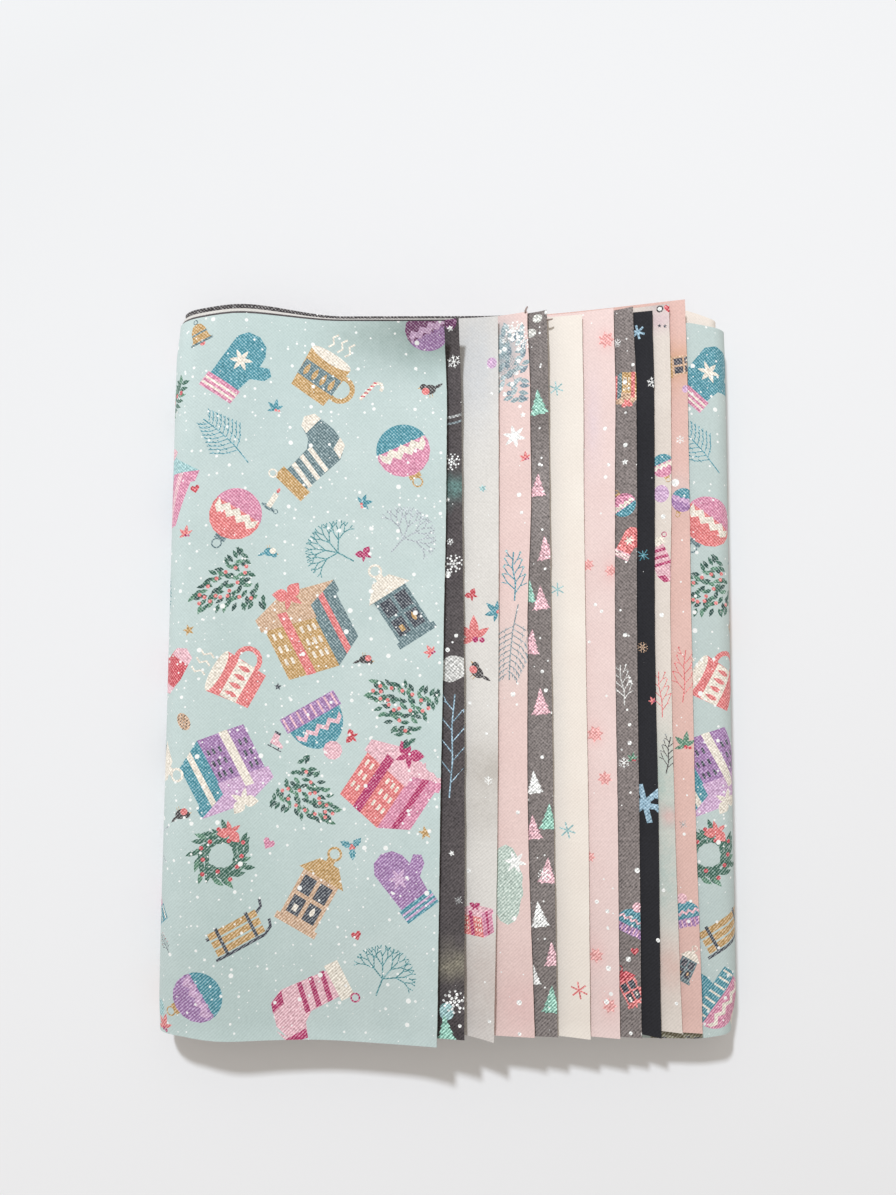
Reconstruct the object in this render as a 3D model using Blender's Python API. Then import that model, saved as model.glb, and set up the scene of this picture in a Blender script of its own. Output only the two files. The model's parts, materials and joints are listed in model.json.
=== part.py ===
"""Bundle of eleven cotton strips, laid on each other and folded in three.

Every strip lies under the one before it, so the first one is the outer wrap of the bundle.
The right third is folded in first and the left third over it, and the cut edges of the left
thirds are fanned out: the first strip stops in the middle and each lower one reaches further.
+X is across the folds, +Y is along them and +Z is up. Tables and constants are in millimetres.
"""

import math
from collections import namedtuple

import bmesh
import bpy

MM = 0.001

STRIP_LENGTH = 500.0
CLOTH = 0.28
AIR = 0.30
PITCH = CLOTH + AIR

COUNT = 11
BASE_LEVEL = 0
RIGHT_FLAP_LEVEL = 2 * COUNT - 1
LEFT_FLAP_LEVEL = 3 * COUNT - 1
RIGHT_FOLD_LEVEL = (BASE_LEVEL + RIGHT_FLAP_LEVEL) / 2.0
LEFT_FOLD_LEVEL = (BASE_LEVEL + LEFT_FLAP_LEVEL) / 2.0

# Where the two folds turn, at the head (+Y) and at the foot (-Y) of the bundle.
LEFT_TURN_HEAD = -88.8
LEFT_TURN_FOOT = -91.0
RIGHT_TURN_HEAD = 95.1
RIGHT_TURN_FOOT = 94.6
HEAD_Y = 126.0
FOOT_Y = -123.0

ROWS = 8
ARC_STEPS = 8
STATIONS = (-60.0, -30.0, 0.0, 30.0, 60.0)
STATION_MARGIN = 7.0
ROW_STEP = 1.0 / (ROWS - 1)

# The heads and feet of the strips bulge beside the left fold and flare at the cut edges.
BULGE_X = -80.0
MIDDLE_X = -37.0
FLARE_X = -1.0
SIDE_DRAW = 1.6
FOOT_DRAW = 1.0

# Unevenness of the pile: it springs up at the right fold, dips where inner ends stop, and waves.
SPRING = 0.10
SPRING_FROM = 35.0
SPRING_TO = 92.0
DIP = 0.5
DIP_RUN = 25.0
DIP_HOLD = 30.0
WAVE = 0.45
WAVE_ACROSS = 170.0
WAVE_ALONG = 210.0
EDGE_LIFT = 0.35
CORNER_LIFT = 0.6

Strip = namedtuple("Strip", "node colour cut_head cut_middle cut_foot "
                            "head_right head_left head_middle head_cut "
                            "foot_right foot_left foot_cut")

STRIPS = (
    Strip("strip_01_blue_print", (0.55, 0.72, 0.70), -1.3, -2.1, -4.0,
          126.5, 128.4, 125.0, 125.1, -124.3, -123.2, -125.2),
    Strip("strip_02_charcoal", (0.06, 0.055, 0.06), 4.9, 5.6, 6.1,
          125.3, 127.4, 125.8, 127.0, -122.9, -121.6, -123.3),
    Strip("strip_03_off_white", (0.62, 0.62, 0.60), 17.4, 17.1, 15.6,
          125.8, 130.5, 126.3, 127.2, -123.2, -121.9, -124.2),
    Strip("strip_04_pink", (0.80, 0.52, 0.50), 28.4, 27.2, 28.7,
          125.2, 129.4, 126.2, 129.1, -122.8, -121.4, -122.5),
    Strip("strip_05_fir_print", (0.16, 0.14, 0.15), 36.0, 36.0, 37.0,
          125.9, 131.9, 127.4, 130.1, -123.1, -121.8, -122.5),
    Strip("strip_06_cream", (0.85, 0.79, 0.69), 47.6, 47.7, 48.1,
          131.2, 130.8, 127.0, 129.6, -122.7, -121.3, -123.4),
    Strip("strip_07_pale_pink", (0.86, 0.62, 0.62), 59.1, 58.1, 58.4,
          126.4, 130.2, 126.9, 130.8, -123.3, -121.7, -123.3),
    Strip("strip_08_taupe_dots", (0.20, 0.17, 0.18), 66.6, 65.9, 66.0,
          126.0, 130.6, 126.8, 131.6, -124.4, -121.9, -123.2),
    Strip("strip_09_black", (0.02, 0.02, 0.03), 73.3, 72.3, 72.7,
          125.4, 129.8, 126.7, 130.7, -122.9, -121.5, -123.5),
    Strip("strip_10_cream_patches", (0.82, 0.76, 0.70), 79.3, 78.0, 79.7,
          126.1, 130.4, 127.0, 132.9, -123.4, -121.8, -122.6),
    Strip("strip_11_salmon", (0.82, 0.47, 0.42), 85.9, 86.1, 87.3,
          125.7, 130.0, 126.9, 134.8, -123.0, -121.6, -122.3),
)


def mix(first, second, share):
    """Straight blend from first to second."""
    return first + (second - first) * share


def ease(start, end, value):
    """Soft step that goes from 0 at start to 1 at end."""
    share = min(max((value - start) / (end - start), 0.0), 1.0)
    return share * share * (3.0 - 2.0 * share)


def level_height(level):
    """Height of the middle of the cloth at a level of the pile."""
    return CLOTH / 2.0 + level * PITCH


def turn_x(share):
    """X of the left and the right turn on a row, from the foot at 0 to the head at 1."""
    left = mix(LEFT_TURN_FOOT, LEFT_TURN_HEAD, share)
    right = mix(RIGHT_TURN_FOOT, RIGHT_TURN_HEAD, share)
    return left, right


def cut_x(strip, share):
    """X of the cut edge on a row, a shallow curve through its foot, middle and head."""
    straight = mix(strip.cut_foot, strip.cut_head, share)
    bow = strip.cut_middle - (strip.cut_foot + strip.cut_head) / 2.0
    return straight + bow * 4.0 * share * (1.0 - share)


def inner_end_x(index):
    """X where the folded-in right third stops, which leaves the strip its full length."""
    left, right = turn_x(0.5)
    left_radius = (LEFT_FOLD_LEVEL - index) * PITCH
    right_radius = (RIGHT_FOLD_LEVEL - index) * PITCH
    used = cut_x(STRIPS[index], 0.5) - left + math.pi * left_radius
    used += right - left + math.pi * right_radius
    return right - (STRIP_LENGTH - used)


def dip(level, x, left_turn):
    """How far a level sinks where right thirds below it have already stopped."""
    hold = ease(left_turn, left_turn + DIP_HOLD, x)
    missing = 0.0
    for index in range(COUNT):
        if RIGHT_FLAP_LEVEL - index < level:
            end = inner_end_x(index)
            missing += 1.0 - ease(end - DIP_RUN, end, x)
    return DIP * PITCH * hold * missing


def head_y(strip, x, on_top):
    """Y of the strip's head edge at x, on the top layer or below it."""
    side = strip.head_left - SIDE_DRAW
    if not on_top:
        return mix(side, strip.head_right, ease(LEFT_TURN_HEAD, RIGHT_TURN_HEAD, x))
    if x < BULGE_X:
        return mix(side, strip.head_left, ease(LEFT_TURN_HEAD - LEFT_FOLD_LEVEL * PITCH, BULGE_X, x))
    if x < FLARE_X:
        return mix(strip.head_left, strip.head_middle, ease(BULGE_X, MIDDLE_X, x))
    reach = max(strip.cut_head - FLARE_X, 1.0)
    flare = min((x - FLARE_X) / reach, 1.0)
    return mix(strip.head_middle, strip.head_cut, flare * flare)


def foot_y(strip, x, on_top):
    """Y of the strip's foot edge at x, on the top layer or below it."""
    side = strip.foot_left + SIDE_DRAW
    if not on_top:
        return mix(side, strip.foot_right, ease(LEFT_TURN_FOOT, RIGHT_TURN_FOOT, x))
    if x < BULGE_X:
        return mix(side, strip.foot_left, ease(LEFT_TURN_FOOT - LEFT_FOLD_LEVEL * PITCH, BULGE_X, x))
    drawn = strip.foot_left + FOOT_DRAW
    near_cut = ease(strip.cut_foot - 2.0 * DIP_RUN, strip.cut_foot, x)
    return mix(mix(strip.foot_left, drawn, ease(BULGE_X, MIDDLE_X, x)), strip.foot_cut, near_cut)


def settle(x, y, z):
    """Height of a point once the pile has its spring and its waves; the floor side stays flat."""
    loft = z - CLOTH / 2.0
    spring = 1.0 + SPRING * ease(SPRING_FROM, SPRING_TO, x)
    wave = math.sin(math.tau * x / WAVE_ACROSS + 0.6) + math.sin(math.tau * y / WAVE_ALONG - 0.9)
    share = loft / (LEFT_FLAP_LEVEL * PITCH)
    return CLOTH / 2.0 + loft * spring + WAVE * share * wave / 2.0


def edge_lift(index, share):
    """Rise of a cut edge above the strip below it, more at the two corners."""
    ripple = 0.5 + 0.5 * math.sin(1.7 * index + 9.0 * share)
    corner = abs(2.0 * share - 1.0) ** 6
    return EDGE_LIFT * ripple + CORNER_LIFT * corner


def arc_points(turn, level, radius, side):
    """Half circle of a fold, from its upper end down to its lower end."""
    points = []
    for step in range(ARC_STEPS + 1):
        angle = math.pi * (0.5 - step / ARC_STEPS)
        points.append((turn + side * radius * math.cos(angle),
                       level_height(level) + radius * math.sin(angle)))
    return points


def section(index, share):
    """Folded section of one strip on a row: x, z and whether the point is on the left third."""
    strip = STRIPS[index]
    left, right = turn_x(share)
    cut = cut_x(strip, share)
    inner = inner_end_x(index)
    inner_stations = [x for x in STATIONS if x > inner + STATION_MARGIN]
    band = cut_x(STRIPS[index - 1], share) + 1.0 if index else cut - DIP_RUN
    outer_stations = [x for x in STATIONS if x < cut_x(strip, 0.5) - 3.0 * STATION_MARGIN]

    points = []
    flap = RIGHT_FLAP_LEVEL - index
    for x in [inner] + inner_stations:
        points.append((x, level_height(flap) - dip(flap, x, left), False))
    for x, z in arc_points(right, RIGHT_FOLD_LEVEL, (RIGHT_FOLD_LEVEL - index) * PITCH, 1.0):
        points.append((x, z, False))
    for x in reversed(STATIONS):
        points.append((x, level_height(index), False))
    for x, z in reversed(arc_points(left, LEFT_FOLD_LEVEL, (LEFT_FOLD_LEVEL - index) * PITCH, -1.0)):
        points.append((x, z, z > level_height(LEFT_FOLD_LEVEL)))
    flap = LEFT_FLAP_LEVEL - index
    for x in outer_stations + [band, cut]:
        points.append((x, level_height(flap) - dip(flap, x, left), True))
    return points


def strip_points(index):
    """Rows of points of the middle of one strip's cloth, in metres."""
    strip = STRIPS[index]
    rows = []
    for row in range(ROWS):
        share = row * ROW_STEP
        line = []
        for x, z, on_top in section(index, share):
            y = mix(foot_y(strip, x, on_top), head_y(strip, x, on_top), share)
            line.append([x, y, settle(x, mix(FOOT_Y, HEAD_Y, share), z)])
        line[-1][2] += edge_lift(index, share)
        rows.append(line)
    return rows


def cloth_material(name, colour):
    """Plain woven cotton in one colour."""
    material = bpy.data.materials.new(name)
    material.use_nodes = True
    shader = material.node_tree.nodes["Principled BSDF"]
    shader.inputs["Base Color"].default_value = (*colour, 1.0)
    shader.inputs["Roughness"].default_value = 0.9
    shader.inputs["Metallic"].default_value = 0.0
    return material


def make_strip(index, shift_x, shift_y):
    """One strip as a folded sheet with its real thickness."""
    strip = STRIPS[index]
    mesh = bpy.data.meshes.new(strip.node)
    sheet = bmesh.new()
    grid = []
    for line in strip_points(index):
        grid.append([sheet.verts.new(((x - shift_x) * MM, (y - shift_y) * MM, z * MM))
                     for x, y, z in line])
    for lower, upper in zip(grid, grid[1:]):
        for column in range(len(lower) - 1):
            sheet.faces.new((lower[column], lower[column + 1], upper[column + 1], upper[column]))
    bmesh.ops.recalc_face_normals(sheet, faces=sheet.faces)
    sheet.to_mesh(mesh)
    sheet.free()
    mesh.shade_smooth()
    mesh.materials.append(cloth_material(strip.node, strip.colour))

    body = bpy.data.objects.new(strip.node, mesh)
    bpy.context.collection.objects.link(body)
    cloth = body.modifiers.new("cloth", "SOLIDIFY")
    cloth.thickness = CLOTH * MM
    cloth.offset = 0.0
    return body


def plan_middle():
    """Middle of the whole pile in plan, which becomes the origin."""
    points = [point for index in range(COUNT) for line in strip_points(index) for point in line]
    xs = [point[0] for point in points]
    ys = [point[1] for point in points]
    return (min(xs) + max(xs)) / 2.0, (min(ys) + max(ys)) / 2.0


def clear_scene():
    """Remove what the scene holds."""
    for item in list(bpy.data.objects):
        bpy.data.objects.remove(item, do_unlink=True)


clear_scene()
middle_x, middle_y = plan_middle()
for number in range(COUNT):
    make_strip(number, middle_x, middle_y)
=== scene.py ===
"""Looks of a bundle of eleven folded cotton strips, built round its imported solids.

Lengths in tables and constants are in millimetres; points become metres as a mesh is made.
"""

import json
import math

import bpy
import numpy as np
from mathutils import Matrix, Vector, geometry

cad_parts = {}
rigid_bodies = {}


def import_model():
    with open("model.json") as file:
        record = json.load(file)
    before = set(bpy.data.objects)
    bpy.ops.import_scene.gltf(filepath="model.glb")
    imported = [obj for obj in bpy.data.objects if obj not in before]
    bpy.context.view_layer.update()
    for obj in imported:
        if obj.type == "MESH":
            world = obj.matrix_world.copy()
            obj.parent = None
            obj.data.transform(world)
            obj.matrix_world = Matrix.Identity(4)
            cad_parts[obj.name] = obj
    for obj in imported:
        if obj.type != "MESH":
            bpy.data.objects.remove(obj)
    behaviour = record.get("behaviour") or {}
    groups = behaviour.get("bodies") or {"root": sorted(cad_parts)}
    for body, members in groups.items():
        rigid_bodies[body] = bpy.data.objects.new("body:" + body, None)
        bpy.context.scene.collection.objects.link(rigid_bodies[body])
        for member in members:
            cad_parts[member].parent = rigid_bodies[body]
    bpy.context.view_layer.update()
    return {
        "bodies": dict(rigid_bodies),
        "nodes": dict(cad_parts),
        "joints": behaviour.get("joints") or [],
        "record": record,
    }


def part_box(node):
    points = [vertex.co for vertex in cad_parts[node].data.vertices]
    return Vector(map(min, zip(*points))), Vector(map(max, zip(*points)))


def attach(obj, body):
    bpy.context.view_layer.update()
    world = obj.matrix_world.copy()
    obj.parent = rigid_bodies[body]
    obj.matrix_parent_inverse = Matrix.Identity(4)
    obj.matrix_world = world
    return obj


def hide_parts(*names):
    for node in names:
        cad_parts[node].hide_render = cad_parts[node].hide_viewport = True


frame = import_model()
for item in bpy.context.selected_objects:
    item.select_set(False)


# The pile. Eleven cotton strips lie on each other and are folded in three: the right third is
# turned in first and the left third over it, so the first strip is the outer wrap. The cut edges
# of the left thirds are fanned out. The sizes are those of the solids.

MM = 0.001
STRIP_WIDTH = 252.0
STRIP_LENGTH = 500.0
CLOTH = 0.28
PITCH = 0.58
COUNT = 11
RIGHT_FLAP_LEVEL = 2 * COUNT - 1
LEFT_FLAP_LEVEL = 3 * COUNT - 1
RIGHT_FOLD_LEVEL = RIGHT_FLAP_LEVEL / 2.0
LEFT_FOLD_LEVEL = LEFT_FLAP_LEVEL / 2.0
LEFT_TURN_HEAD = -88.8
LEFT_TURN_FOOT = -91.0
RIGHT_TURN_HEAD = 95.1
RIGHT_TURN_FOOT = 94.6
HEAD_Y = 126.0
FOOT_Y = -123.0
BULGE_X = -73.0
MIDDLE_X = -37.0
FLARE_X = -1.0
HEAD_SIDE_DRAW = 3.4
FOOT_SIDE_DRAW = 2.0
CORNER_FROM = 84.0
CORNER_TO = 101.0
HEAD_CORNER = 2.4
FOOT_CORNER = 1.5
CORNER_REACH = 14.0
PINCH_LEFT_OFF = 0.75
PINCH_ENDS = (1.0, 4.0)
LEFT_PINCHES = (0.5, 1.2)
RIGHT_PINCHES = (1.9, 0.2)
FOOT_DRAW = 1.0
SPRING = 0.10
SPRING_FROM = 35.0
SPRING_TO = 92.0
DIP = 0.5
DIP_RUN = 25.0
DIP_HOLD = 30.0
WAVE = 0.45
WAVE_ACROSS = 170.0
WAVE_ALONG = 210.0
WAVE_PHASES = (0.6, -0.9)
FOOT_CURL = 0.35
FOOT_CURL_RUN = 6.0

# Node, then X of the cut edge at head, middle and foot, then Y of the head edge at the right fold,
# the left fold, the middle and the cut edge, then Y of the foot edge at right, left and cut edge.
# A few edges lie up to 1.9 away from those of their solids, where thin lines of cloth show.
STRIP_COLUMNS = ("node", "cut_head", "cut_middle", "cut_foot", "head_right", "head_left", "head_middle",
                 "head_cut", "foot_right", "foot_left", "foot_cut")
STRIP_ROWS = (
    ("strip_01_blue_print", -1.3, -2.1, -4.0, 126.5, 128.4, 125.0, 125.1, -124.3, -123.7, -125.5),
    ("strip_02_charcoal", 4.9, 5.6, 6.1, 125.3, 129.3, 125.8, 127.0, -122.9, -121.6, -123.3),
    ("strip_03_off_white", 17.4, 17.1, 15.6, 125.8, 130.5, 126.3, 127.2, -123.2, -121.9, -124.2),
    ("strip_04_pink", 28.4, 27.2, 28.7, 125.2, 129.4, 126.2, 129.1, -122.8, -121.4, -122.5),
    ("strip_05_fir_print", 36.0, 36.0, 37.0, 125.9, 132.6, 127.6, 130.1, -123.1, -121.8, -122.5),
    ("strip_06_cream", 47.6, 47.7, 48.1, 132.4, 130.8, 126.2, 128.4, -122.7, -121.3, -123.4),
    ("strip_07_pale_pink", 59.1, 58.1, 58.4, 126.4, 130.2, 126.9, 130.8, -123.3, -121.7, -123.3),
    ("strip_08_taupe_dots", 66.6, 65.9, 66.0, 126.0, 130.6, 126.8, 131.6, -124.4, -121.9, -123.2),
    ("strip_09_black", 73.3, 72.3, 72.7, 125.4, 129.8, 126.7, 130.2, -122.9, -121.5, -123.5),
    ("strip_10_cream_patches", 79.3, 78.0, 79.7, 126.1, 130.4, 127.0, 132.9, -123.4, -121.8, -122.0),
    ("strip_11_salmon", 85.9, 86.1, 87.3, 125.7, 130.0, 126.9, 134.8, -123.0, -121.6, -122.3),
)
STRIPS = [dict(zip(STRIP_COLUMNS, row)) for row in STRIP_ROWS]

# Soft hollows of the pile: X and Y of the middle, reach in X and Y, and share of the height lost.
SAG_ROWS = (
    (-18.0, -124.0, 40.0, 30.0, 0.1),
    (-43.0, -124.0, 15.0, 30.0, 0.05),
    (-93.0, -124.0, 10.0, 20.0, 0.13),
)

# The cut edges are not quite straight. Shares of the strip's width from the foot, and how far each
# strip's cut edge stands out there.
CUT_KNOTS = (0.0, 0.3, 0.55, 0.74, 0.88, 1.0)
CUT_TRIMS = (
    (0.2, 0.0, 0.4, 0.9, 1.0, 0.0),
    (-0.6, -0.15, -0.1, -0.4, -0.4, -1.1),
    (0.0, 0.35, 0.4, 0.4, 0.4, 0.35),
    (0.75, 0.0, 0.5, 1.8, 1.2, -0.1),
    (0.2, 0.1, 0.0, -0.1, -0.3, -0.7),
    (0.35, 0.65, 0.4, 0.3, 0.5, 0.35),
    (0.2, 0.6, 0.3, 0.55, 0.8, 0.2),
    (0.0, 0.35, 0.3, 0.7, 0.7, -0.3),
    (0.1, 0.65, 0.3, 0.6, 0.6, 0.1),
    (0.4, 0.35, 0.2, 1.0, 0.9, 0.3),
    (0.0, -0.4, -0.3, -0.1, -0.1, -0.5),
)

# The solids' frame has its origin in the middle of the pile, so the plan above moves by this much.
wrap_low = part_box("strip_01_blue_print")[0]
inner_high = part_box("strip_11_salmon")[1]
PLAN_X = LEFT_TURN_FOOT - LEFT_FOLD_LEVEL * PITCH - CLOTH / 2.0 - wrap_low.x / MM
PLAN_Y = STRIPS[-1]["head_cut"] - inner_high.y / MM


def mix(first, second, share):
    return first + (second - first) * share


def ease(start, end, value):
    """Soft step from 0 at start to 1 at end."""
    share = np.clip((value - start) / (end - start), 0.0, 1.0)
    return share * share * (3.0 - 2.0 * share)


def level_height(level):
    return CLOTH / 2.0 + level * PITCH


def cut_x(strip, share):
    """X of a cut edge, from the foot at share 0 to the head at share 1."""
    bow = strip["cut_middle"] - (strip["cut_foot"] + strip["cut_head"]) / 2.0
    return mix(strip["cut_foot"], strip["cut_head"], share) + bow * 4.0 * share * (1.0 - share)


def cut_trim(index, share):
    """How far a cut edge stands out from its smooth line."""
    trims = CUT_TRIMS[index]
    shift = trims[0] + 0.0 * share
    for start, end, step in zip(CUT_KNOTS, CUT_KNOTS[1:], np.diff(trims)):
        shift = shift + step * ease(start, end, share)
    return shift


def route_breaks(index):
    """Distances along a strip, from its inner end, where its folds and thirds begin and end."""
    left = mix(LEFT_TURN_FOOT, LEFT_TURN_HEAD, 0.5)
    right = mix(RIGHT_TURN_FOOT, RIGHT_TURN_HEAD, 0.5)
    left_arc = math.pi * (LEFT_FOLD_LEVEL - index) * PITCH
    right_arc = math.pi * (RIGHT_FOLD_LEVEL - index) * PITCH
    left_turn_end = STRIP_LENGTH - (cut_x(STRIPS[index], 0.5) - left)
    left_turn_start = left_turn_end - left_arc
    right_turn_end = left_turn_start - (right - left)
    return right_turn_end - right_arc, right_turn_end, left_turn_start, left_turn_end


INNER_ENDS = [mix(RIGHT_TURN_FOOT, RIGHT_TURN_HEAD, 0.5) - route_breaks(index)[0]
              for index in range(COUNT)]


def dip(level, x, left_turn):
    """How far a level sinks where right thirds below it have already stopped."""
    missing = np.zeros_like(x)
    for index, end in enumerate(INNER_ENDS):
        if RIGHT_FLAP_LEVEL - index < level:
            missing += 1.0 - ease(end - DIP_RUN, end, x)
    return DIP * PITCH * ease(left_turn, left_turn + DIP_HOLD, x) * missing


# How steeply each head edge rises to its cut edge where that isn't a plain square, and how much
# further the cream strip rounds its free corner at the right fold.
HEAD_FLARES = {"strip_11_salmon": 1.25, "strip_10_cream_patches": 1.7, "strip_05_fir_print": 4.0,
               "strip_08_taupe_dots": 3.2}
FREE_CORNERS = {"strip_06_cream": 4.4}


def head_y(strip, x, on_top):
    side = strip["head_left"] - HEAD_SIDE_DRAW
    below = mix(side, strip["head_right"], ease(LEFT_TURN_HEAD, RIGHT_TURN_HEAD, x))
    fold = LEFT_TURN_HEAD - LEFT_FOLD_LEVEL * PITCH
    bulge = mix(side, strip["head_left"], ease(fold, BULGE_X, x))
    flare = np.clip((x - FLARE_X) / max(strip["cut_head"] - FLARE_X, 1.0), 0.0, 1.0)
    rise = mix(strip["head_middle"], strip["head_cut"], flare ** HEAD_FLARES.get(strip["node"], 2.0))
    top = mix(bulge, rise, ease(BULGE_X, MIDDLE_X, x))
    corner = FREE_CORNERS.get(strip["node"], HEAD_CORNER) * ease(CORNER_FROM, CORNER_TO, x)
    return np.where(on_top, top, below - corner)


# How far from the cut edge each strip's foot edge begins to slant.
FOOT_FLARES = (60.0, 60.0, 15.5, 60.0, 60.0, 38.0, 48.0, 60.0, 20.0, 13.0, 40.0)


def foot_y(strip, x, on_top):
    side = strip["foot_left"] + FOOT_SIDE_DRAW
    below = mix(side, strip["foot_right"], ease(LEFT_TURN_FOOT, RIGHT_TURN_FOOT, x))
    fold = LEFT_TURN_FOOT - LEFT_FOLD_LEVEL * PITCH
    bulge = mix(side, strip["foot_left"], ease(fold, BULGE_X, x))
    drawn = mix(bulge, strip["foot_left"] + FOOT_DRAW, ease(BULGE_X, MIDDLE_X, x))
    run = FOOT_FLARES[STRIPS.index(strip)]
    near_cut = np.clip((x - strip["cut_foot"]) / run + 1.0, 0.0, 1.0) ** 1.5
    below = below + FOOT_CORNER * ease(CORNER_FROM, CORNER_TO, x)
    return np.where(on_top, mix(drawn, strip["foot_cut"], near_cut), below)


def settle(x, y, z):
    """Height of a point once the pile has its spring and its waves."""
    loft = z - CLOTH / 2.0
    spring = 1.0 + SPRING * ease(SPRING_FROM, SPRING_TO, x)
    wave = (np.sin(math.tau * x / WAVE_ACROSS + WAVE_PHASES[0])
            + np.sin(math.tau * y / WAVE_ALONG + WAVE_PHASES[1]))
    for sag_x, sag_y, reach_x, reach_y, share in SAG_ROWS:
        spring = spring - share * np.exp(-((x - sag_x) / reach_x) ** 2 - ((y - sag_y) / reach_y) ** 2)
    return CLOTH / 2.0 + loft * spring + WAVE * loft / (LEFT_FLAP_LEVEL * PITCH) * wave / 2.0


# The camera hangs over the pile, a little below its middle in the picture, and looks almost
# straight down.

CAMERA_HEIGHT = 324.0
CAMERA_Y = 8.2
CAMERA_TILT = 3.5
FOCAL_PIXELS = 880.0
PICTURE_HEIGHT = 1195.0
SENSOR = 36.0


def show(item):
    """Put an object in the scene."""
    bpy.context.scene.collection.objects.link(item)
    return item


camera_data = bpy.data.cameras.new("camera")
camera_data.sensor_width = SENSOR
camera_data.lens = SENSOR * FOCAL_PIXELS / PICTURE_HEIGHT
camera = show(bpy.data.objects.new("camera", camera_data))
camera.location = (-PLAN_X * MM, (CAMERA_Y - PLAN_Y) * MM, CAMERA_HEIGHT * MM)
camera.rotation_euler = (math.radians(CAMERA_TILT), 0.0, 0.0)
bpy.context.scene.camera = camera


# How the left thirds stand up. Each strip springs away from the one below it towards its cut edge
# and carries those above it. The outer two also curl up together at the head beside the cut edge.
# Each row gives a strip's rise at its cut edge, what its head and foot corners add, how far from
# the cut edge the rise begins, and its curl at the head.
LIFT_ROWS = (
    (1.5, 0.6, 0.8, 18.0, 1.6),
    (1.8, 1.6, 1.8, 22.0, 4.2),
    (0.8, 0.3, 1.4, 14.0, 0.8),
    (0.7, 0.6, 0.4, 12.0, 0.2),
    (1.8, 1.0, 0.4, 14.0, 0.0),
    (0.6, 0.4, 0.5, 12.0, 0.0),
    (0.7, 0.7, 0.5, 12.0, 0.0),
    (0.6, 0.8, 0.4, 10.0, 0.0),
    (0.4, 0.4, 0.8, 8.0, 0.0),
    (0.7, 0.7, 0.4, 8.0, 0.0),
    (0.9, 0.8, 0.5, 8.0, 0.0),
)
RIPPLE = 0.3
RIPPLE_LENGTHS = (63.0, 24.0)
RIPPLE_SHIFT = 2.4
HEAD_RUN = 0.3
FOOT_RUN = 0.2
CURL_RUN = 19.0
CURL_FROM = -42.0
CURL_TO = -6.0
CURL_BEND = 0.6
DRAW_HEIGHT = 300.0


def own_rise(index, x, share):
    """Rise of one strip's left third above the strip below it."""
    lift, head_lift, foot_lift, run, curl = LIFT_ROWS[index]
    free = np.clip((x - cut_x(STRIPS[index], share)) / run + 1.0, 0.0, 1.0)
    y = mix(FOOT_Y, HEAD_Y, share)
    ripple = sum(np.sin(math.tau * y / length + RIPPLE_SHIFT * index) for length in RIPPLE_LENGTHS)
    corner = head_lift * ease(1.0 - HEAD_RUN, 1.0, share) + foot_lift * ease(FOOT_RUN, 0.0, share)
    near_head = np.clip(1.0 - (1.0 - share) * STRIP_WIDTH / CURL_RUN, 0.0, 1.0)
    bend = near_head ** 2 * (1.0 + CURL_BEND * (1.0 - near_head))
    curled = curl * bend * ease(CURL_FROM, CURL_TO, x)
    return (lift * (1.0 + RIPPLE * ripple / 2.0) + corner) * free ** 2 + curled


def rise_at(index, x, share):
    """Rise of a strip's left third with all that the strips below it add."""
    return sum(own_rise(number, x, share) for number in range(index, COUNT))


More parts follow.
